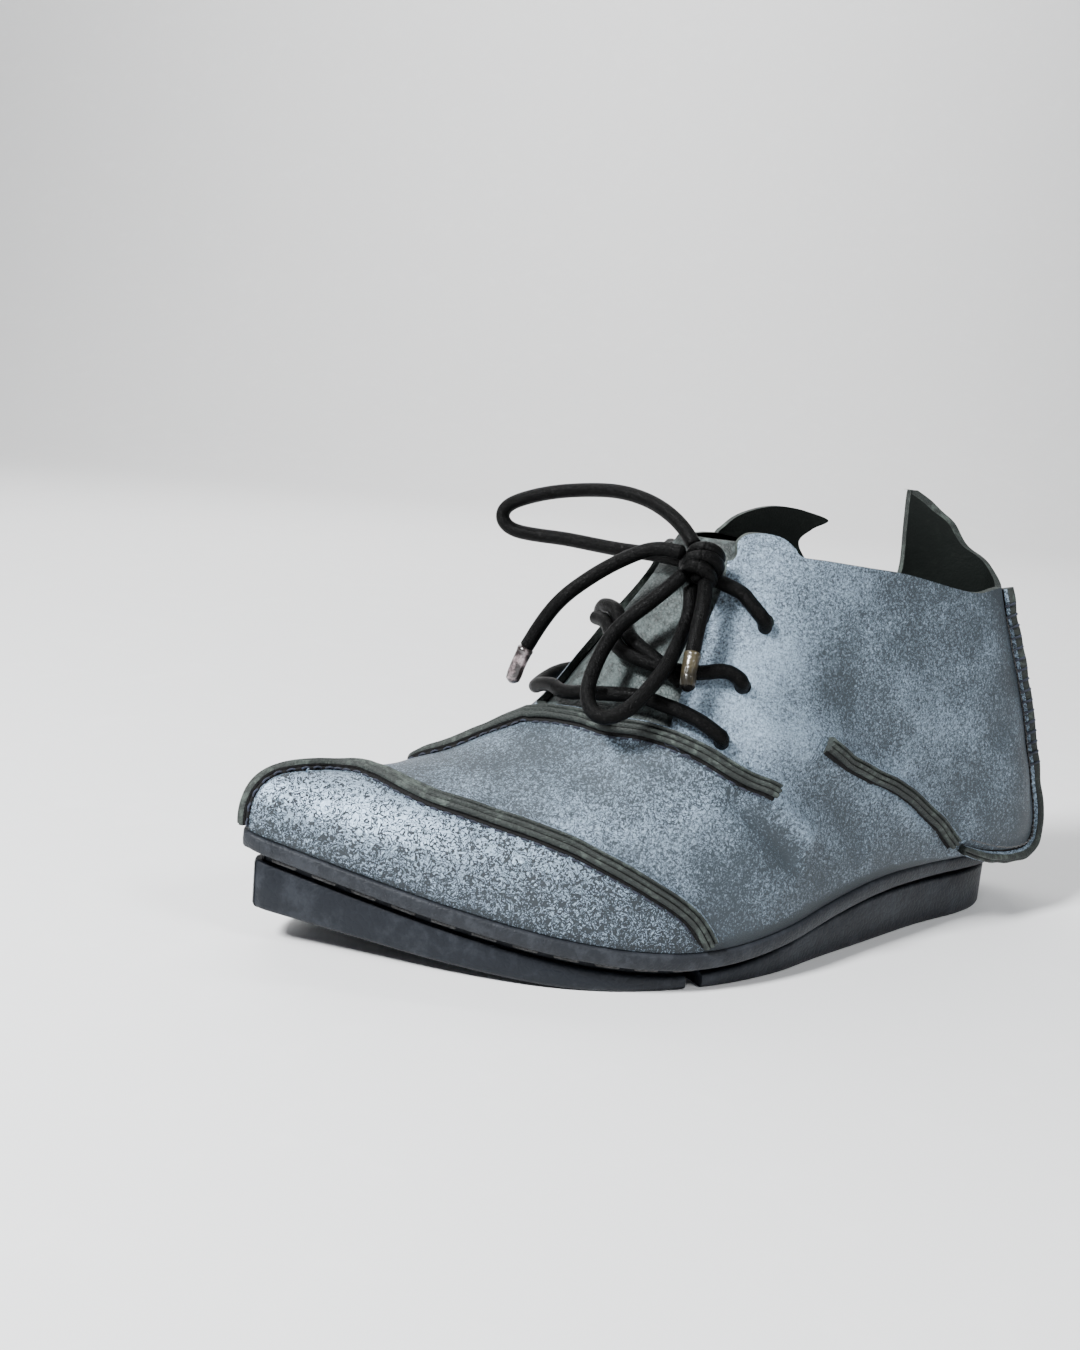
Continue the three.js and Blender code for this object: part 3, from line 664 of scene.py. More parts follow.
def cut(piece, shapes):
    """Cuts closed shapes out of a piece."""
    for points, faces in shapes:
        combine(piece, cutter(points, faces, list(piece.data.materials)), "DIFFERENCE")


# Camera at the photograph's place
lens = bpy.data.cameras.new("photo_camera")
lens.sensor_width = SENSOR
lens.lens = FOCAL_PIXELS * SENSOR / PHOTO_HEIGHT
camera = bpy.data.objects.new("photo_camera", lens)
bpy.context.collection.objects.link(camera)
bpy.context.scene.camera = camera
turned = Matrix((CAMERA_RIGHT, CAMERA_UP, CAMERA_BACK)).transposed().to_4x4()
camera.matrix_world = Matrix.Translation(Vector(to_frame(CAMERA_AT))) @ turned
lens.clip_start = 0.01


# Finishes
def shader_group(name, inputs, outputs):
    """A node group with its inputs' values. Inputs with four values, and the output Colour, are colours."""
    tree = bpy.data.node_groups.new(name, "ShaderNodeTree")
    for title, value in inputs.items():
        kind = "NodeSocketFloat" if isinstance(value, float) else "NodeSocketColor"
        tree.interface.new_socket(title, in_out="INPUT", socket_type=kind).default_value = value
    for title in outputs:
        kind = "NodeSocketColor" if title == "Colour" else "NodeSocketFloat"
        tree.interface.new_socket(title, in_out="OUTPUT", socket_type=kind)
    return tree, tree.nodes.new("NodeGroupInput").outputs, tree.nodes.new("NodeGroupOutput").inputs


def feed(tree, socket, value):
    """Links a socket to another, or sets its constant value."""
    if isinstance(value, bpy.types.NodeSocket):
        tree.links.new(value, socket)
    else:
        socket.default_value = value


def maths(tree, operation, *values):
    node = tree.nodes.new("ShaderNodeMath")
    node.operation = operation
    for socket, value in zip(node.inputs, values):
        feed(tree, socket, value)
    return node.outputs[0]


def times(tree, first, second):
    return maths(tree, "MULTIPLY", first, second)


def scaled(tree, value, gain, base):
    """A value times a gain, on top of a base."""
    return maths(tree, "MULTIPLY_ADD", value, gain, base)


def rising(tree, value, low, high):
    """Smooth step of a value between two levels."""
    node = tree.nodes.new("ShaderNodeMapRange")
    node.interpolation_type = "SMOOTHSTEP"
    for title, level in (("Value", value), ("From Min", low), ("From Max", high)):
        feed(tree, node.inputs[title], level)
    return node.outputs["Result"]


def blended(tree, share, first, second):
    node = tree.nodes.new("ShaderNodeMix")
    node.data_type = "RGBA"
    feed(tree, node.inputs[0], share)
    feed(tree, node.inputs[6], first)
    feed(tree, node.inputs[7], second)
    return node.outputs[2]


def place_on_object(tree):
    return tree.nodes.new("ShaderNodeTexCoord").outputs["Object"]


def cloudy(tree, vector, scale, detail=3.0, roughness=0.55):
    node = tree.nodes.new("ShaderNodeTexNoise")
    feed(tree, node.inputs["Vector"], vector)
    feed(tree, node.inputs["Scale"], scale)
    node.inputs["Detail"].default_value = detail
    node.inputs["Roughness"].default_value = roughness
    return node.outputs


def worms_of(tree, vector, scale, thin, thick):
    """Winding cracks: dark where a noise crosses its middle value."""
    fac = cloudy(tree, vector, scale, 1.5, 0.5)["Fac"]
    away = maths(tree, "ABSOLUTE", maths(tree, "SUBTRACT", fac, 0.5))
    return rising(tree, away, thin, thick)


def cell_edges(tree, vector, scale):
    node = tree.nodes.new("ShaderNodeTexVoronoi")
    node.feature = "DISTANCE_TO_EDGE"
    feed(tree, node.inputs["Vector"], vector)
    feed(tree, node.inputs["Scale"], scale)
    return node.outputs["Distance"]


def warped(tree, vector, scale, amount):
    """Coordinates pushed about by slow noise, so that cells look torn rather than regular."""
    shift = tree.nodes.new("ShaderNodeVectorMath")
    shift.operation = "MULTIPLY_ADD"
    feed(tree, shift.inputs[0], cloudy(tree, vector, scale, 2.0)["Color"])
    shift.inputs[1].default_value = (amount,) * 3
    feed(tree, shift.inputs[2], vector)
    return shift.outputs[0]


def make_crackle():
    """Silver foil on leather, cracked into worms where coarse and into fine specks elsewhere; the coverage
    and coarseness it is given also carry painted highlights and shade.
    """
    tree, given, made = shader_group("Crackled foil", {
        "Foil": (0.5, 0.5, 0.49, 1),
        "Leather": (0.05, 0.055, 0.06, 1),
        "Matte leather": (0.1, 0.12, 0.13, 1),
        "Coverage and painted light": 0.6,
        "Coarseness and shade": 0.5,
        "Cracks per metre": 780.0,
    }, ("Colour", "Roughness", "Metal", "Height"))
    vector = place_on_object(tree)
    torn = warped(tree, vector, 300.0, 0.006)
    cells = given["Cracks per metre"]
    wide = worms_of(tree, torn, cells, 0.02, 0.085)
    fine = worms_of(tree, torn, times(tree, cells, 2.2), 0.01, 0.12)
    patches = cloudy(tree, vector, 60.0, 3.0)["Fac"]
    specks = cloudy(tree, vector, 1900.0, 4.0, 0.7)["Fac"]
    grains = cloudy(tree, vector, 1250.0, 6.0, 0.72)["Fac"]
    worms = times(tree, wide, scaled(tree, fine, 0.55, 0.45))
    coarse_and_shade = given["Coarseness and shade"]
    plain = maths(tree, "SUBTRACT", 1.0, coarse_and_shade)
    shape = scaled(tree, worms, coarse_and_shade, times(tree, grains, plain))
    level = scaled(tree, specks, 0.45, scaled(tree, patches, 0.35, shape))
    cover_and_light = given["Coverage and painted light"]
    floor = scaled(tree, cover_and_light, -1.0, 1.26)
    blur = scaled(tree, coarse_and_shade, -0.12, 0.52)
    foil_and_painted_light = rising(tree, level, floor, maths(tree, "ADD", floor, blur))
    bright = scaled(tree, specks, 0.8, scaled(tree, grains, 0.8, 0.15))
    tinted = tree.nodes.new("ShaderNodeVectorMath")
    tinted.operation = "SCALE"
    feed(tree, tinted.inputs[0], given["Foil"])
    feed(tree, tinted.inputs["Scale"], bright)
    ground = blended(tree, rising(tree, coarse_and_shade, 0.1, 0.95), given["Matte leather"], given["Leather"])
    feed(tree, made["Colour"], blended(tree, foil_and_painted_light, ground, tinted.outputs[0]))
    feed(tree, made["Roughness"], scaled(tree, foil_and_painted_light, -0.24, 0.56))
    feed(tree, made["Metal"], times(tree, foil_and_painted_light, 0.85))
    pitted = scaled(tree, specks, 0.5, times(tree, grains, 0.45))
    raised = scaled(tree, foil_and_painted_light, 0.35, pitted)
    feed(tree, made["Height"], raised)
    return tree


def make_grain():
    """Fine pores and small wrinkles of leather, cord or rubber, mottled with a worn colour that on the lace
    tips is a painted glint.
    """
    tree, given, made = shader_group("Fine grain", {
        "Colour": (0.1, 0.1, 0.1, 1),
        "Worn colour": (0.2, 0.2, 0.2, 1),
        "Wear and glint": 0.3,
        "Grains per metre": 900.0,
        "Gloss change": 0.1,
        "Base roughness": 0.6,
    }, ("Colour", "Roughness", "Height"))
    vector = place_on_object(tree)
    scale = given["Grains per metre"]
    pores = rising(tree, cell_edges(tree, vector, scale), 0.0, 0.22)
    rough = cloudy(tree, vector, times(tree, scale, 0.4), 5.0, 0.65)["Fac"]
    broad = cloudy(tree, vector, 70.0, 3.0)["Fac"]
    level = maths(tree, "ADD", times(tree, rough, 0.6), times(tree, broad, 0.4))
    floor = scaled(tree, given["Wear and glint"], -0.4, 0.66)
    worn_and_glint = rising(tree, level, floor, maths(tree, "ADD", floor, 0.16))
    feed(tree, made["Colour"], blended(tree, worn_and_glint, given["Colour"], given["Worn colour"]))
    change = times(tree, maths(tree, "SUBTRACT", rough, 0.5), given["Gloss change"])
    feed(tree, made["Roughness"], maths(tree, "ADD", given["Base roughness"], change))
    feed(tree, made["Height"], scaled(tree, pores, 0.5, rough))
    return tree


CRACKLE = make_crackle()
GRAIN = make_grain()


def painted(name, group, values, bump, depth=0.0004, **constants):
    """A material of one shader group: its values, the strength of its bump and constant sockets."""
    material = bpy.data.materials.new(name)
    material.use_nodes = True
    tree = material.node_tree
    shader = tree.nodes["Principled BSDF"]
    node = tree.nodes.new("ShaderNodeGroup")
    node.node_tree = group
    for title, value in values.items():
        if isinstance(value, str):
            source = tree.nodes.new("ShaderNodeAttribute")
            source.attribute_name = value
            value = source.outputs["Fac"]
        feed(tree, node.inputs[title], value)
    tree.links.new(node.outputs["Colour"], shader.inputs["Base Color"])
    tree.links.new(node.outputs["Roughness"], shader.inputs["Roughness"])
    if "Metal" in node.outputs:
        tree.links.new(node.outputs["Metal"], shader.inputs["Metallic"])
    height = tree.nodes.new("ShaderNodeBump")
    height.inputs["Strength"].default_value = bump
    height.inputs["Distance"].default_value = depth
    tree.links.new(node.outputs["Height"], height.inputs["Height"])
    tree.links.new(height.outputs["Normal"], shader.inputs["Normal"])
    for title, value in constants.items():
        shader.inputs[title.replace("_", " ")].default_value = value
    return material


def grained(name, colour, worn_and_glint, wear_and_glint, roughness, bump, grains=900.0, gloss_change=0.1, **constants):
    """A material of fine grain: its ground and worn colours, share of wear, roughness and bump; on the lace
    tips the worn colour and its share paint glints.
    """
    return painted(name, GRAIN, {
        "Colour": colour, "Worn colour": worn_and_glint, "Wear and glint": wear_and_glint, "Base roughness": roughness,
        "Grains per metre": grains, "Gloss change": gloss_change,
    }, bump, **constants)


def grey(level, blue=0.0):
    return (level - blue * 0.5, level, level + blue, 1)


FOIL = painted("Silver foil leather", CRACKLE, {
    "Foil": (0.36, 0.475, 0.60, 1), "Leather": (0.009, 0.014, 0.019, 1),
    "Matte leather": (0.022, 0.032, 0.041, 1), "Coverage and painted light": "foil_and_painted_light", "Coarseness and shade": "coarse_and_shade",
}, 0.85)
LINING = grained("Black lining leather", (0.004, 0.006, 0.005, 1), (0.009, 0.012, 0.010, 1), 0.35, 0.7, 0.35,
                 Specular_IOR_Level=0.2)
RAW_EDGE = grained("Raw leather edge", (0.010, 0.014, 0.012, 1), (0.056, 0.072, 0.062, 1), 0.45, 0.7, 0.6)
# Painted shade: near-black for the seams' grooves and for the shadow strip under their lips.
GROOVE_SHADE = grained("Shadowed groove", grey(0.008), grey(0.022), 0.3, 0.85, 0.5, Specular_IOR_Level=0.2)
TONGUE_SKIN = grained("Green-grey tongue leather", (0.016, 0.022, 0.021, 1), (0.060, 0.080, 0.078, 1),
                      0.6, 0.6, 0.7)
INSOLE_SKIN = grained("Black insole leather", grey(0.006), grey(0.014), 0.45, 0.65, 0.4,
                      Specular_IOR_Level=0.25)
BAND = grained("Grey rubber band", grey(0.014, 0.004), grey(0.027, 0.006), 0.5, 0.55, 0.35, 700.0,
               Specular_IOR_Level=0.25)
BLOCK = grained("Near-black rubber", grey(0.010, 0.004), grey(0.022, 0.006), 0.5, 0.5, 0.3, 520.0,
                Specular_IOR_Level=0.2)
WAXED = grained("Black waxed cord", grey(0.001), grey(0.003), 0.4, 0.42, 0.5, 1500.0, 0.3,
                Specular_IOR_Level=0.07)
# Painted highlight: both tips are one dark tip, painted as two lit copies, with pink-white glints on the
# long tip and olive glints on the short one.
PINK_GLINT_TIP = grained("Dark shrunk tip with painted pink-white glint", (0.018, 0.013, 0.013, 1), (0.50, 0.40, 0.41, 1), 0.38, 0.3, 0.3,
                   500.0, Coat_Weight=0.6)
OLIVE_GLINT_TIP = grained("Dark shrunk tip with painted olive glint", (0.012, 0.010, 0.006, 1), (0.055, 0.045, 0.024, 1), 0.5, 0.3,
                    0.3, 500.0, Coat_Weight=0.6)
PALE_THREAD = grained("Grey sole thread", grey(0.03), grey(0.09), 0.6, 0.75, 0.5, 2500.0)
DARK_THREAD = grained("Blue-black thread", (0.012, 0.016, 0.03, 1), (0.03, 0.04, 0.07, 1), 0.4, 0.6, 0.5,
                      2500.0)
UPPER_FINISHES = [FOIL, LINING, RAW_EDGE]


# Upper: a grid over the last's surface, trimmed like the cut leather
OUTSIDE_GRID = (205, 58)
INSIDE_GRID = (120, 40)
TONGUE_GRID = (150, 40)
MARKS_GRID = (170, 150)
HEM = 22.0
FIN_TOP = 1.150
THROAT_ENDS = (-0.085, 1.75)
TONGUE_ENDS = (-0.357, 1.01)
TONGUE_MARGIN = 0.06
PUNCH_REACH = 7
RIDGE_PAINTED_LIGHT = 0.085
RIDGE_MOST = 2.2


def line_place(rows, across, past):
    """Place of a seam at a signed share across the shoe."""
    order = np.argsort(rows["across"])
    return np.interp(across, rows["across"][order], rows["place"][order], left=past, right=past)


def surface_masks(place, across):
    """Coverage of the foil and coarseness of its cracks over the panels, as two numbers each; the coverage
    carries painted highlights and painted shade, and both carry the painted shadow along the foot.
    """
    toe = smooth((place - line_place(TOE_SEAM, across, 8.9)) / 0.12 + 0.5)
    vamp_end = np.where(across > 0.66, 99.0, line_place(VAMP_SEAM, across, 11.7))
    vamp = smooth((place - vamp_end) / 0.12 + 0.5) * (1 - toe)
    vamp_side = smooth((across - 0.42) / 0.25) + smooth((-across - 0.42) / 0.25)
    heel = smooth((3.6 - place) / 1.6) * (1 - toe)
    # Painted highlight: more foil around the tab on both facings.
    tab_highlight = np.exp(-(((place - 8.1) / 1.5) ** 2 + ((np.abs(across) - 0.42) / 0.28) ** 2))
    # Painted shade: less foil low on the sides near the sole, more so on the toe.
    low_side_shade = smooth((np.abs(across) - 0.62) / 0.36)
    shaft = np.exp(-(((place - 4.2) / 1.8) ** 2 + ((np.abs(across) - 0.2) / 0.24) ** 2))
    # Painted shade: less foil on the toe panel back from its tip.
    toe_back_shade = smooth((13.6 - place) / 2.6) * toe
    # Painted highlight: more foil in a band across the middle of the toe, where the light falls brightest.
    toe_highlight_band = toe * np.exp(-(((across - 0.46) / 0.26) ** 2))
    foil_and_painted_light = 0.53 + 0.11 * toe + 0.14 * toe_highlight_band - vamp * (0.06 - 0.10 * vamp_side)
    foil_and_painted_light -= 0.12 * heel + 0.10 * shaft + (0.12 + 0.16 * toe) * low_side_shade + 0.12 * toe_back_shade
    foil_and_painted_light += 0.16 * tab_highlight * (1 - toe) * (1 - vamp)
    coarse_and_shade = 0.20 + 0.52 * toe + 0.14 * vamp * vamp_side - 0.10 * heel
    # Painted shadow: a dark strip along the upper's foot, with less foil and a darker ground, where the
    # upper meets the band.
    foot_shadow_line = smooth((np.abs(across) - 0.962) / 0.03)
    foil_and_painted_light -= 0.5 * foot_shadow_line
    coarse_and_shade += 0.5 * foot_shadow_line
    return np.clip(foil_and_painted_light, 0, 1), np.clip(coarse_and_shade, 0, 1)


def last_grid(growth, stations, shares, hem=0.0):
    """Rings over the last, grown off its surface by a distance, the creases of the leather on it."""
    places = np.linspace(0, LAST_RIB, stations)
    share = np.linspace(0, 1, shares)
    sides = []
    for hand in (-1.0, 1.0):
        point = rib_point(places[:, None], hand, share[None, :])
        normal = rib_normal(places[:, None], hand, share[None, :])
        _, outward = rib_foot(places, hand)
        normal[:, 0] = outward
        point[..., 1] += hand * HALF_CENTRE
        height = relief(point) * smooth(share / 0.1)[None, :]
        point = point + normal * (height + growth)[..., None]
        if hem:
            low = point[:, :1] - np.array([0, 0, hem])
            point = np.concatenate([low, point], axis=1)
        sides.append(point)
    return np.concatenate([sides[0], sides[1][:, ::-1]], axis=1)


def solid_of(name, ring, materials, number):
    """A closed mesh from rings of points, all of one of its materials."""
    rows, around = ring.shape[:2]
    faces = loft_faces(rows, around)
    piece = mesh_object(name, ring.reshape(-1, 3), faces, materials, [number] * len(faces))
    return face_outwards(piece)


def above(rows, first, size, axes, start, end):
    """Cutter of all that lies above a collar line."""
    last = len(rows["top"]) - 1
    fine = np.linspace(0, last, 8 * last + 1)
    outline = list(zip(column(rows, first, fine) * size, column(rows, "top", fine) * COLLAR_HEIGHT))
    ceiling = 1.6 * COLLAR_HEIGHT
    outline += [(outline[-1][0], ceiling), (outline[0][0], ceiling)]
    return prism(outline, axes, start, end)


def throat(margin, low, high):
    """Prism through the opening between the facings."""
    inside = (THROAT["leg"] > low) & (THROAT["leg"] < high)
    legs = np.concatenate([[low], THROAT["leg"][inside], [high]])
    out, inn = (np.concatenate([wide[:1], wide[inside], wide[-1:]]) + margin
                for wide in (THROAT["out"], THROAT["inn"]))
    heights = INSTEP_HEIGHT + legs * LEG_HEIGHT
    outline = list(zip(out * BALL_WIDTH, heights)) + list(zip(-inn[::-1] * BALL_WIDTH, heights[::-1]))
    return prism(outline, LENGTHWAYS, 0.45 * SOLE_LENGTH, 0.8 * SOLE_LENGTH)


def punch(place, across):
    """Cutter of one round eyelet hole."""
    point, normal = spot_on(place, across)
    return tube_parts([point - normal * PUNCH_REACH, point, point + normal * PUNCH_REACH], HOLE / 2, 28)


SPLIT = BACK_TOP["across"][1] * BALL_WIDTH
fin_top = dict(INNER_TOP, top=np.minimum(INNER_TOP["top"], FIN_TOP))
collar_cutters = [
    above(OUTER_TOP, "along", SOLE_LENGTH, SIDEWAYS, SPLIT, BALL_WIDTH),
    above(fin_top, "along", SOLE_LENGTH, SIDEWAYS, -BALL_WIDTH, SPLIT + 1),
    above(BACK_TOP, "across", BALL_WIDTH, LENGTHWAYS, -0.2 * SOLE_LENGTH, 0.16 * SOLE_LENGTH),
]


def finish_edges(piece, angle=42):
    piece.data.polygons.foreach_set("use_smooth", [True] * len(piece.data.polygons))
    piece.data.set_sharp_from_angle(angle=math.radians(angle))


def mark(piece, foil_and_painted_light, coarse_and_shade):
    """Writes the foil's coverage and coarseness to each point, with any painted highlight and shade in them.
    """
    for title, values in (("foil_and_painted_light", foil_and_painted_light), ("coarse_and_shade", coarse_and_shade)):
        layer = piece.data.attributes.new(title, "FLOAT", "POINT")
        layer.data.foreach_set("value", values)


def panel_marks(piece):
    """Marks each point as the nearest point of the last; ridges get more foil as painted highlight and
    troughs less as painted shade.
    """
    places, across = np.meshgrid(np.linspace(0, LAST_RIB, MARKS_GRID[0]), np.linspace(-1, 1, MARKS_GRID[1]),
                                 indexing="ij")
    points = bare_point(places, across)
    foil_and_painted_light, coarse_and_shade = (values.reshape(-1) for values in surface_masks(places, across))
    ridges = np.clip(relief(points).reshape(-1), -RIDGE_MOST, RIDGE_MOST)
    # Painted highlight on the creases' ridges and painted shade in their troughs.
    foil_and_painted_light = np.clip(foil_and_painted_light + RIDGE_PAINTED_LIGHT * ridges, 0, 1)
    spots = to_frame(points).reshape(-1, 3)
    tree = kdtree.KDTree(len(spots))
    for number, spot in enumerate(spots):
        tree.insert(spot, number)
    tree.balance()
    found = [tree.find(vertex.co)[1] for vertex in piece.data.vertices]
    mark(piece, foil_and_painted_light[found], coarse_and_shade[found])


def dress(piece, slot, *nodes):
    """Puts a piece on the shoe's body in place of its solids; its slot is not used."""
    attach(piece, "root")
    if nodes:
        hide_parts(*nodes)
    return piece


upper = solid_of("shoe_upper", last_grid(0, *OUTSIDE_GRID), UPPER_FINISHES, 0)
hollow = solid_of("hollow", last_grid(-LEATHER, *INSIDE_GRID, HEM), UPPER_FINISHES, 1)
combine(upper, hollow, "DIFFERENCE")
cut(upper, [*collar_cutters, throat(0, *THROAT_ENDS)])
cut(upper, [punch(p, a) for p, a in zip(HOLES["place"], HOLES["across"])])
finish_edges(upper)
panel_marks(upper)
dress(upper, "upper_leather", "upper")

# Tongue behind the facings
tongue_finishes = [TONGUE_SKIN, LINING, RAW_EDGE]
tongue_face = last_grid(-LEATHER - TONGUE_GAP, *TONGUE_GRID, HEM)
tongue_back = last_grid(-LEATHER - TONGUE_GAP - TONGUE_LEATHER, *INSIDE_GRID, 2 * HEM)
tongue = solid_of("shoe_tongue", tongue_face, tongue_finishes, 0)
combine(tongue, solid_of("behind", tongue_back, tongue_finishes, 1), "DIFFERENCE")
combine(tongue, cutter(*throat(TONGUE_MARGIN, *TONGUE_ENDS), tongue_finishes), "INTERSECT")
finish_edges(tongue)
dress(tongue, "tongue_leather", "tongue")


# Sole: band, blocks and insole as stacked plates
PLATE_STATIONS = 150
SOLE_CORNER = 50
BELOW_SOLE = -40
ABOVE_SOLE = 90
TAPER = BAND_MARGIN + BAND_HEEL_INSET
NOTCH_AT = NOTCH_ALONG * SOLE_LENGTH


def plate(profile, taper=0.0):
    """Rings of a flat plate that follows the foot's outline; the profile gives inset and height."""
    places = np.linspace(0, LAST_RIB, PLATE_STATIONS)
    sides = []
    for hand in (-1.0, 1.0):
        foot, outward = rib_foot(places, hand)
        heel = 1 - smooth(foot[:, 0] / (HEEL_TAPER_END * SOLE_LENGTH))
        rows = []
        for inset, height in profile:
            point = foot - outward * (inset + taper * heel)[:, None]
            point[:, 2] = height(point[:, 0])
            point[:, 1] += hand * HALF_CENTRE
            rows.append(point)
        sides.append(np.stack(rows, axis=1))
    return np.concatenate([sides[0], sides[1][:, ::-1]], axis=1)


def over(level, rise):
    """A level of the sole raised by a distance, or lowered where that is negative."""
    return lambda x: level(x) + rise


band_top = over(footbed, -GAP)
band_foot = over(band_top, -BAND_THICKNESS)
block_top = over(band_foot, -GAP)
recess_foot = over(block_top, -RECESS_HEIGHT)


def sole_part(piece, slot, node):
    finish_edges(piece, SOLE_CORNER)
    dress(piece, slot, node)


midsole = solid_of("sole_band", plate([
    (0.6, band_foot), (-0.5, band_foot), (-0.95, over(band_foot, 0.25)),
    (-BAND_MARGIN, over(band_foot, 0.8)), (-BAND_MARGIN - 0.1, over(band_foot, 2.2)),
    (-BAND_MARGIN, over(band_top, -0.9)), (-0.95, over(band_top, -0.3)), (-0.4, band_top), (0.6, band_top),
], TAPER), [BAND], 0)
sole_part(midsole, "midsole_rubber", "midsole")

blocks = plate([
    (BLOCK_INSET + 2.4, tread), (BLOCK_INSET + 1.1, tread), (BLOCK_INSET + 0.35, over(tread, 0.3)),
    (BLOCK_INSET, over(tread, 1.2)), (BLOCK_INSET, over(recess_foot, -0.9)),
    (BLOCK_INSET + 0.3, over(recess_foot, -0.25)), (BLOCK_INSET + 1.0, recess_foot),
    (RECESS_DEPTH, recess_foot), (RECESS_DEPTH, block_top), (RECESS_DEPTH + 1.5, block_top),
], TAPER)
for name, node, start, end in (
    ("sole_forefoot", "outsole_forefoot", -SOLE_LENGTH, NOTCH_AT + NOTCH_WIDTH / 2),
    ("sole_heel", "outsole_heel", NOTCH_AT - NOTCH_WIDTH / 2, 2 * SOLE_LENGTH),
):
    block = solid_of(name, blocks, [BLOCK, BLOCK, BLOCK], 0)
    wall = [(-BALL_WIDTH, BELOW_SOLE), (BALL_WIDTH, BELOW_SOLE), (BALL_WIDTH, ABOVE_SOLE),
            (-BALL_WIDTH, ABOVE_SOLE)]
    cut(block, [prism(wall, LENGTHWAYS, start, end)])
    sole_part(block, "outsole_rubber", node)

insole = solid_of("foot_bed", plate([
    (4.0, over(footbed, 0.15)), (3.0, over(footbed, 0.15)), (2.6, over(footbed, 0.6)),
    (2.6, over(footbed, 2.5)), (3.1, over(footbed, 3.0)), (5.0, over(footbed, 3.05)),
    (12.0, over(footbed, 2.7)),
]), [INSOLE_SKIN], 0)
sole_part(insole, "insole_leather", "insole")


# Raised seams: folded edges of leather swept along the seam lines
# Profiles across a seam: distance aside, height and finish (0 foil, 1 painted shade in the grooves and under
# the lip's lower side, 2 raw edge).
LIP = [
    (-2.2, -0.7, 0), (-2.35, 0.8, 0), (-2.15, 1.9, 0), (-1.65, 2.45, 2), (-1.15, 2.35, 2),
    (-0.85, 1.75, 1), (-0.65, 1.75, 1), (-0.4, 2.5, 2), (0.05, 2.75, 2), (0.5, 2.5, 2), (0.72, 1.9, 1),
    (0.92, 1.85, 1), (1.15, 2.3, 2), (1.6, 2.3, 2), (2.05, 1.8, 2), (2.3, 1.2, 1), (2.0, 0.4, 1),
    (2.9, 0.1, 1), (2.9, -0.7, 1),
]
FLANGE = [
    (-1.3, -0.7, 0), (-1.4, 1.6, 0), (-1.25, 2.9, 0), (-0.85, 3.4, 2), (-0.35, 3.3, 2), (-0.1, 2.6, 1),
    (0.1, 2.6, 1), (0.3, 3.1, 2), (0.8, 3.15, 2), (1.25, 2.5, 2), (1.4, 1.4, 0), (1.2, 0.3, 1),
    (1.2, -0.7, 1),
]


SEAM_FOIL = 0.62
SEAM_COARSE = 0.3
SEAM_CORNER = 60
SEAM_SWAY = 0.35
SEAM_UNEVEN = 0.16
WAIST_END = (3.78, 0.875)
FLANGE_TOP = 105.5


def seam_frame(rows, top=None):
    """Points along a seam with their outward and sideways directions."""
    place, across = seam_rows(rows)
    keep = np.abs(across) < 0.985
    point, normal = on_leather(place[keep], across[keep])
    if top is not None:
        low = point[:, 2] < top
        point, normal = point[low], normal[low]
    return point, normal, unit(np.cross(np.gradient(point, axis=0), normal))


def swept(name, node, rows, profile, wave, top=None):
    """A seam's lip: a profile of folded leather carried along the seam, a little uneven by hand."""
    point, normal, side = seam_frame(rows, top)
    count = len(point)
    at = np.arange(count) * SEAM_STEP
    sway = np.array([noise.noise(Vector((s / 11, wave, 0))) for s in at]) * SEAM_SWAY
    lift = 1 + SEAM_UNEVEN * np.array([noise.noise(Vector((s / 7, wave, 5))) for s in at])
    ring = []
    for s, h, _ in profile:
        high = np.where(h > 0, h * lift, h)
        ring.append(point + side * (s + sway)[:, None] + normal * (high + 0.2)[:, None])
    ring = np.stack(ring, axis=1)
    around = len(profile)
    faces = loft_faces(count, around, close_ends=False)
    faces += [tuple(range(around))[::-1], tuple((count - 1) * around + k for k in range(around))]
    numbers = [*(finish for _, _, finish in profile[:-1]), 0] * (count - 1) + [CUT_FACE] * 2
    seam = mesh_object(name, ring.reshape(-1, 3), faces, [FOIL, GROOVE_SHADE, RAW_EDGE], numbers)
    face_outwards(seam)
    finish_edges(seam, SEAM_CORNER)
    marked = np.ones(len(seam.data.vertices))
    mark(seam, SEAM_FOIL * marked, SEAM_COARSE * marked)
    return dress(seam, "seam_leather", node)


swept("toe_seam_lip", "toe_seam", TOE_SEAM, LIP, 1.0)
swept("vamp_seam_lip", "vamp_seam", VAMP_SEAM, LIP, 2.0)
waist_rows = {name: np.append(WAIST_SEAM[name], end) for name, end in zip(("place", "across"), WAIST_END)}
swept("waist_seam_lip", "waist_seam", waist_rows, LIP, 3.0)
swept("heel_seam_flange", "heel_seam", HEEL_SEAM, FLANGE, 4.0, FLANGE_TOP)


# Threads
HEEL_STITCHES_TOP = 98.0


def stitch(start, end, bow, radius):
    """One stitch: a thread bowed off the leather between two pricked holes."""
    middle = (start + end) / 2 + bow
    return tube_parts(curve_through([start, middle, end], THREAD_STEP), radius, 7)


def stitch_row(name, rows, aside, every, length, material, radius=0.28, top=None):
    """Stitches beside a seam, each of a length, at even distances."""
    point, normal, side = seam_frame(rows, top)
    step = max(1, int(round(every / SEAM_STEP)))
    parts = []
    for k in range(1, len(point) - 2, step):
        run = unit(point[k + 1] - point[k])
        middle = point[k] + side[k] * aside + normal[k] * 0.15
        parts.append(stitch(middle - run * length / 2, middle + run * length / 2, normal[k] * 0.3, radius))
    return dress(joined(name, parts, material), "seam_leather")


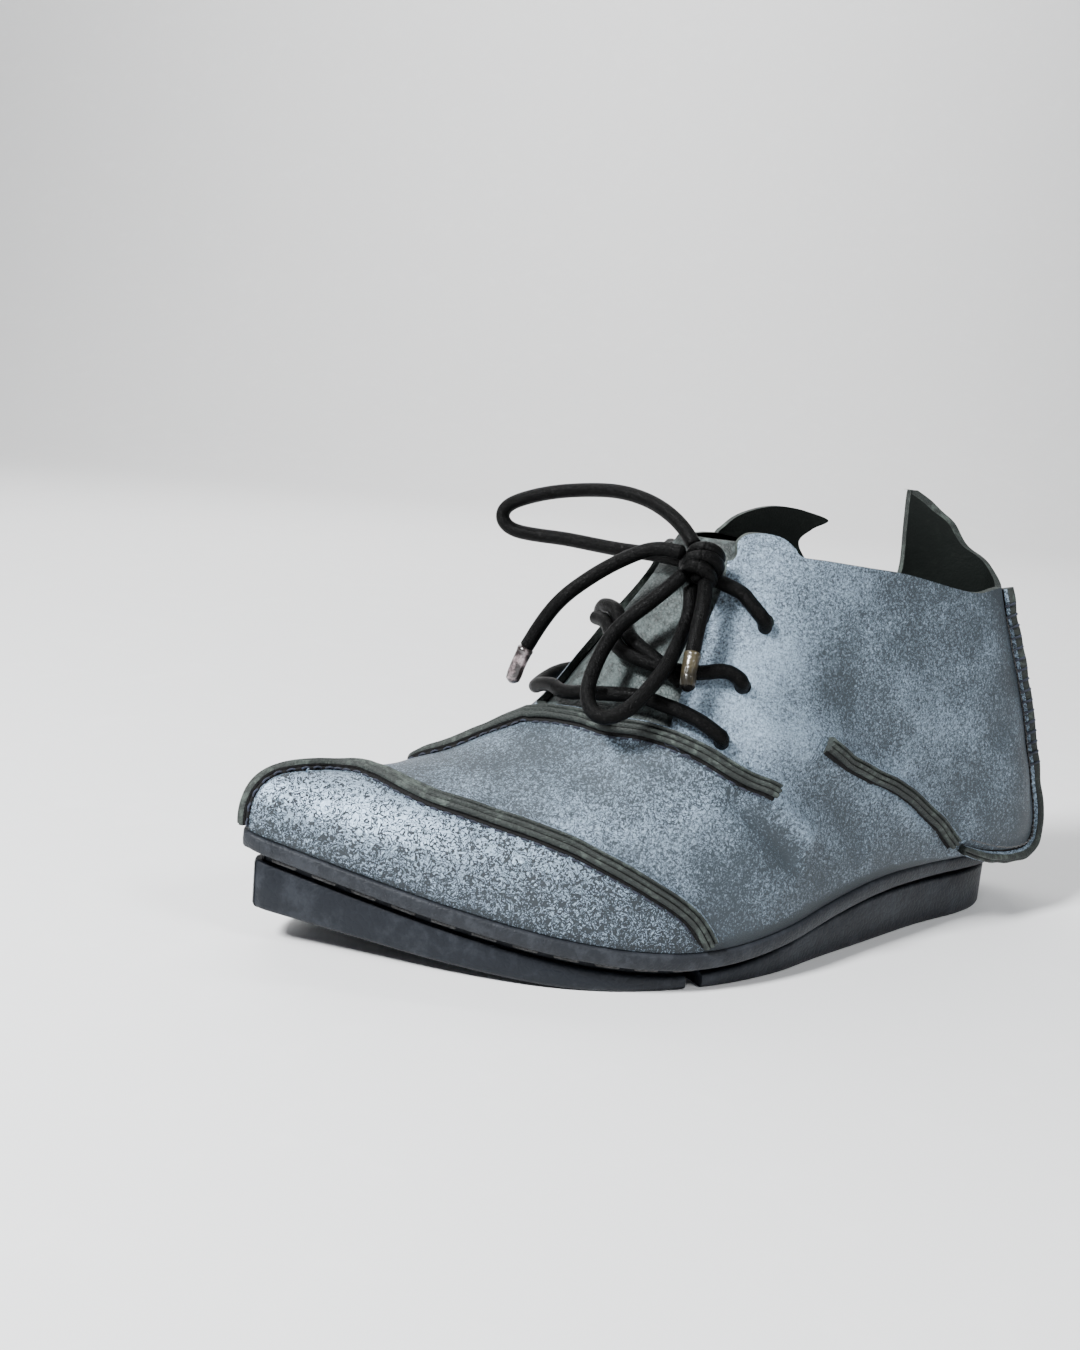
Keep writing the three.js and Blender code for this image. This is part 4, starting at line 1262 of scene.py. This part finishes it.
stitch_row("toe_seam_stitches", TOE_SEAM, 3.3, 3.6, 2.2, DARK_THREAD)
stitch_row("vamp_seam_stitches", VAMP_SEAM, 3.3, 3.6, 2.2, DARK_THREAD)
stitch_row("heel_fine_stitches", HEEL_SEAM, 3.6, 3.0, 2.0, PALE_THREAD, 0.2, HEEL_STITCHES_TOP)

# One whip stitch around the flange: distances aside, off the leather and along the seam
WHIP = [(0.15, 2.9, 0), (0.9, 3.45, 0.2), (1.6, 2.6, 0.4), (1.75, 1.2, 0.6), (2.4, 0.25, 0.7)]
WHIPS_FOOT = 46.0
WHIPS_TOP = 102.0
WHIPS_EVERY = 3
whips = []
flange_point, flange_normal, flange_side = seam_frame(HEEL_SEAM, WHIPS_TOP)
for k in range(1, len(flange_point) - 2, WHIPS_EVERY):
    point, normal, side = flange_point[k], flange_normal[k], flange_side[k]
    if point[2] < WHIPS_FOOT:
        continue
    run = unit(flange_point[k + 1] - point)
    bends = [point + side * aside + normal * off + run * along for aside, off, along in WHIP]
    whips.append(tube_parts(curve_through(bends, THREAD_STEP), 0.42, 8))
dress(joined("heel_whip_stitches", whips, DARK_THREAD), "seam_leather")

# Long stitches of the sole, in the recess above the blocks
SOLE_STITCH = 6.5
SOLE_STITCH_EVERY = 11.5
STITCHED_RIBS = (8.9, 16.6)
sole_threads = []
for hand in (-1.0, 1.0):
    stops = np.linspace(*STITCHED_RIBS, 400)
    foot, _ = rib_foot(stops, hand)
    far = distances(foot)
    for begin in np.arange(4.0, far[-1] - 8, SOLE_STITCH_EVERY):
        line = []
        for s in np.linspace(begin, begin + SOLE_STITCH, 8):
            at = np.interp(s, far, stops)
            spot, away = rib_foot(np.array([at]), hand)
            spot = spot[0] - away[0] * (RECESS_DEPTH - 0.9)
            spot[2] = block_top(spot[0]) - 1.2
            spot[1] += hand * HALF_CENTRE
            line.append(spot)
        sole_threads.append(tube_parts(np.array(line), 0.55, 8))
dress(joined("sole_long_stitches", sole_threads, PALE_THREAD), "outsole_rubber")

# Place, share across, length and drift of each loose thread end
THREAD_ENDS = ((9.55, 0.50, 4.5, 1.0), (9.75, 0.47, 3.0, -2.0), (9.35, 0.53, 3.5, 2.0))
throat_threads = []
for place, across, length, drift in THREAD_ENDS:
    point, normal = spot_on(place, across)
    run = unit(spot_on(place + 0.3, across - 0.06)[0] - point)
    throat_threads.append(tube_parts(curve_through([
        point + normal * 0.1, point + run * length * 0.5 + normal * 0.8,
        point + run * length + np.cross(normal, run) * drift + normal * 0.5,
    ], THREAD_STEP), 0.2, 6))
dress(joined("throat_thread_ends", throat_threads, DARK_THREAD), "seam_leather")


# Lace
HOLE_DEPTHS = (2.2, 6.0)
KNOT_AT = np.array([140.1, 18.3, 110.2])
KNOT_REACH = 4.6
TIP_RADIUS = 2.3
# Passes that round the bends of a soft lace
BEND_ROUNDS = 22


def strand(rows):
    """A lace strand over the leather, from one eyelet hole to another."""
    last = len(rows["place"]) - 1
    fine = np.linspace(0, last, 3 * last + 1)
    place, across = column(rows, "place", fine), column(rows, "across", fine)
    point, normal = on_leather(place, across)
    line = point + normal * (column(rows, "lift", fine) * LACE - 0.2)[:, None]
    return line, normal


def dips(line, normal, at_end=False):
    """Adds the bend down through an eyelet at the start of a strand, or at both ends."""
    points = [*(line[0] - normal[0] * deep for deep in HOLE_DEPTHS[::-1]), *line[1:]]
    if at_end:
        points = [*points[:-1], *(line[-1] - normal[-1] * deep for deep in HOLE_DEPTHS)]
    return curve_through(points, LACE_STEP)


def lace_piece(name, node, strands):
    parts = [tube_parts(line, LACE / 2, 16) for line in strands]
    return dress(joined(name, parts, WAXED), "lace_cord", node)


lace_piece("lace_bottom_bar", "lace_bar", [dips(*strand(LACE_BAR), True)])
lace_piece("lace_crossing", "lace_cross", [dips(*strand(LACE_OVER)), dips(*strand(LACE_UNDER))])
knot_run = np.array([0.52, 0.42, -0.744])
knot_out = np.array([0.46, 0.60, 0.655])
knot_out = unit(knot_out - knot_run * (knot_out @ knot_run))
knot_side = np.cross(knot_run, knot_out)


def into_knot(rows, reach):
    """A strand from a top eyelet, rising off the leather into the underside of the knot."""
    line, normal = strand(rows)
    line = dips(line[:reach], normal[:reach])
    return curve_through([*line[::4], KNOT_AT - knot_out * 3.4, KNOT_AT - knot_out * 0.6], LACE_STEP)


turned_top = {title: LACE_TOP[title][::-1] for title in LACE_TOP}
lace_piece("lace_top_strands", "lace_top", [into_knot(LACE_TOP, 5), into_knot(turned_top, 4)])

# Each wrap's shift along the knot, half width, half height and tilt
WRAPS = ((-3.1, 3.6, 3.9, 0.5), (0.4, 4.3, 4.5, 1.0), (3.3, 3.5, 3.8, -0.6))
knot_parts = []
for shift, wide, high, tilt in WRAPS:
    turn = np.linspace(0, 2 * math.pi, 44)
    wrap = KNOT_AT + np.outer(np.cos(turn) * high, knot_out) + np.outer(np.sin(turn) * wide, knot_side)
    wrap = wrap + np.outer(shift + tilt * np.sin(turn), knot_run)
    knot_parts.append(tube_parts(wrap, LACE / 2 - 0.1, 14))
knot_parts.append(tube_parts(curve_through([
    KNOT_AT - knot_run * KNOT_REACH - knot_out, KNOT_AT + knot_out * 0.4,
    KNOT_AT + knot_run * KNOT_REACH - knot_out * 0.6,
], LACE_STEP), LACE / 2, 14))
knot = dress(joined("lace_knot_wraps", knot_parts, WAXED), "lace_cord", "lace_knot")


def free_lace(name, node, points):
    """A loop or end of the lace as a tube, its bends rounded."""
    line = curve_through(points, LACE_STEP)
    for _ in range(BEND_ROUNDS):
        line[1:-1] = line[1:-1] * 0.5 + 0.25 * (line[:-2] + line[2:])
    piece = dress(joined(name, [tube_parts(line, LACE / 2, 18)], WAXED), "lace_cord", node)


def tip(name, node, points, material):
    """A shrunk tip on the lace: a sleeve with a pinched middle and a rounded end."""
    line = curve_through(points, 0.4)
    along = np.linspace(0, 1, len(line))
    width = TIP_RADIUS * (1 - 0.05 * np.sin(along * math.pi) - 0.1 * smooth((along - 0.8) / 0.2))
    width = width + 0.12 * np.exp(-((along - 0.06) / 0.05) ** 2)
    return dress(joined(name, [tube_parts(line, width, 22)], material), "lace_tip", node)


long_tip = tip("lace_tip_long", "aglet_long", AGLET_LONG, PINK_GLINT_TIP)
short_tip = tip("lace_tip_short", "aglet_short", AGLET_SHORT, OLIVE_GLINT_TIP)
free_lace("lace_loop_to_front", "lace_loop_front", LOOP_FRONT)
free_lace("lace_loop_to_side", "lace_loop_side", LOOP_SIDE)
free_lace("lace_long_end", "lace_end_long", END_LONG)
free_lace("lace_short_end", "lace_end_short", np.concatenate([END_SHORT, AGLET_SHORT[1:]]))

# Floor and light, in metres
SWEEP_FRONT = -3.0
SWEEP_BACK = 1.6
SWEEP_BEND = 0.9
SWEEP_TOP = 4.0
SWEEP_HALF = 5.0
floor_paint = grained("Pale studio floor", grey(0.84), grey(0.86), 0.4, 0.7, 0.02, 60.0)
away = -Vector(CAMERA_BACK)
away.z = 0
away.normalize()
beside = Vector((away.y, -away.x, 0))
sweep = [(SWEEP_FRONT, 0.0), (SWEEP_BACK, 0.0)]
sweep += [(SWEEP_BACK + SWEEP_BEND * math.sin(a), SWEEP_BEND - SWEEP_BEND * math.cos(a))
          for a in np.linspace(0.1, math.pi / 2, 14)]
sweep.append((SWEEP_BACK + SWEEP_BEND, SWEEP_TOP))
sweep_points = [
    (Vector((0, 0, high)) + away * far + beside * wide) / METRE + Vector(ORIGIN)
    for far, high in sweep for wide in (-SWEEP_HALF, SWEEP_HALF)
]
sweep_faces = [(2 * k, 2 * k + 1, 2 * k + 3, 2 * k + 2) for k in range(len(sweep) - 1)]
floor = mesh_object("studio_sweep", sweep_points, sweep_faces, [floor_paint])


def soft_light(name, at, aim, size, power, colour=(1, 1, 1)):
    lamp = bpy.data.lights.new(name, "AREA")
    lamp.shape = "SQUARE"
    lamp.size = size
    lamp.energy = power
    lamp.color = colour
    stand = bpy.data.objects.new(name, lamp)
    stand.location = at
    stand.rotation_euler = (Vector(aim) - Vector(at)).to_track_quat("-Z", "Y").to_euler()
    bpy.context.collection.objects.link(stand)


soft_light("key_light", (0.85, 0.2, 0.85), (0.02, 0, 0.05), 0.22, 36, (0.97, 0.985, 1.0))
soft_light("side_light", (-0.35, 0.85, 0.95), (0, 0, 0.05), 0.35, 9, (0.97, 0.985, 1.0))
soft_light("back_light", (0.2, -1.0, 1.0), (0, 0, 0.08), 0.8, 8)
soft_light("backdrop_light", (-0.4, -0.8, 1.7), (-1.15, -2.3, 0.5), 1.0, 50)

# The air lights the shoe a little and is brighter where it is seen
AIR_GLOW = 0.12
SEEN_GLOW = 0.62
world = bpy.data.worlds.new("studio")
world.use_nodes = True
air_tree = world.node_tree
air = air_tree.nodes["Background"]
air.inputs["Color"].default_value = (0.88, 0.94, 1.0, 1)
air.inputs["Strength"].default_value = AIR_GLOW
bpy.context.scene.world = world
seen = air_tree.nodes.new("ShaderNodeLightPath").outputs["Is Camera Ray"]
feed(air_tree, air.inputs["Strength"], scaled(air_tree, seen, SEEN_GLOW, AIR_GLOW))
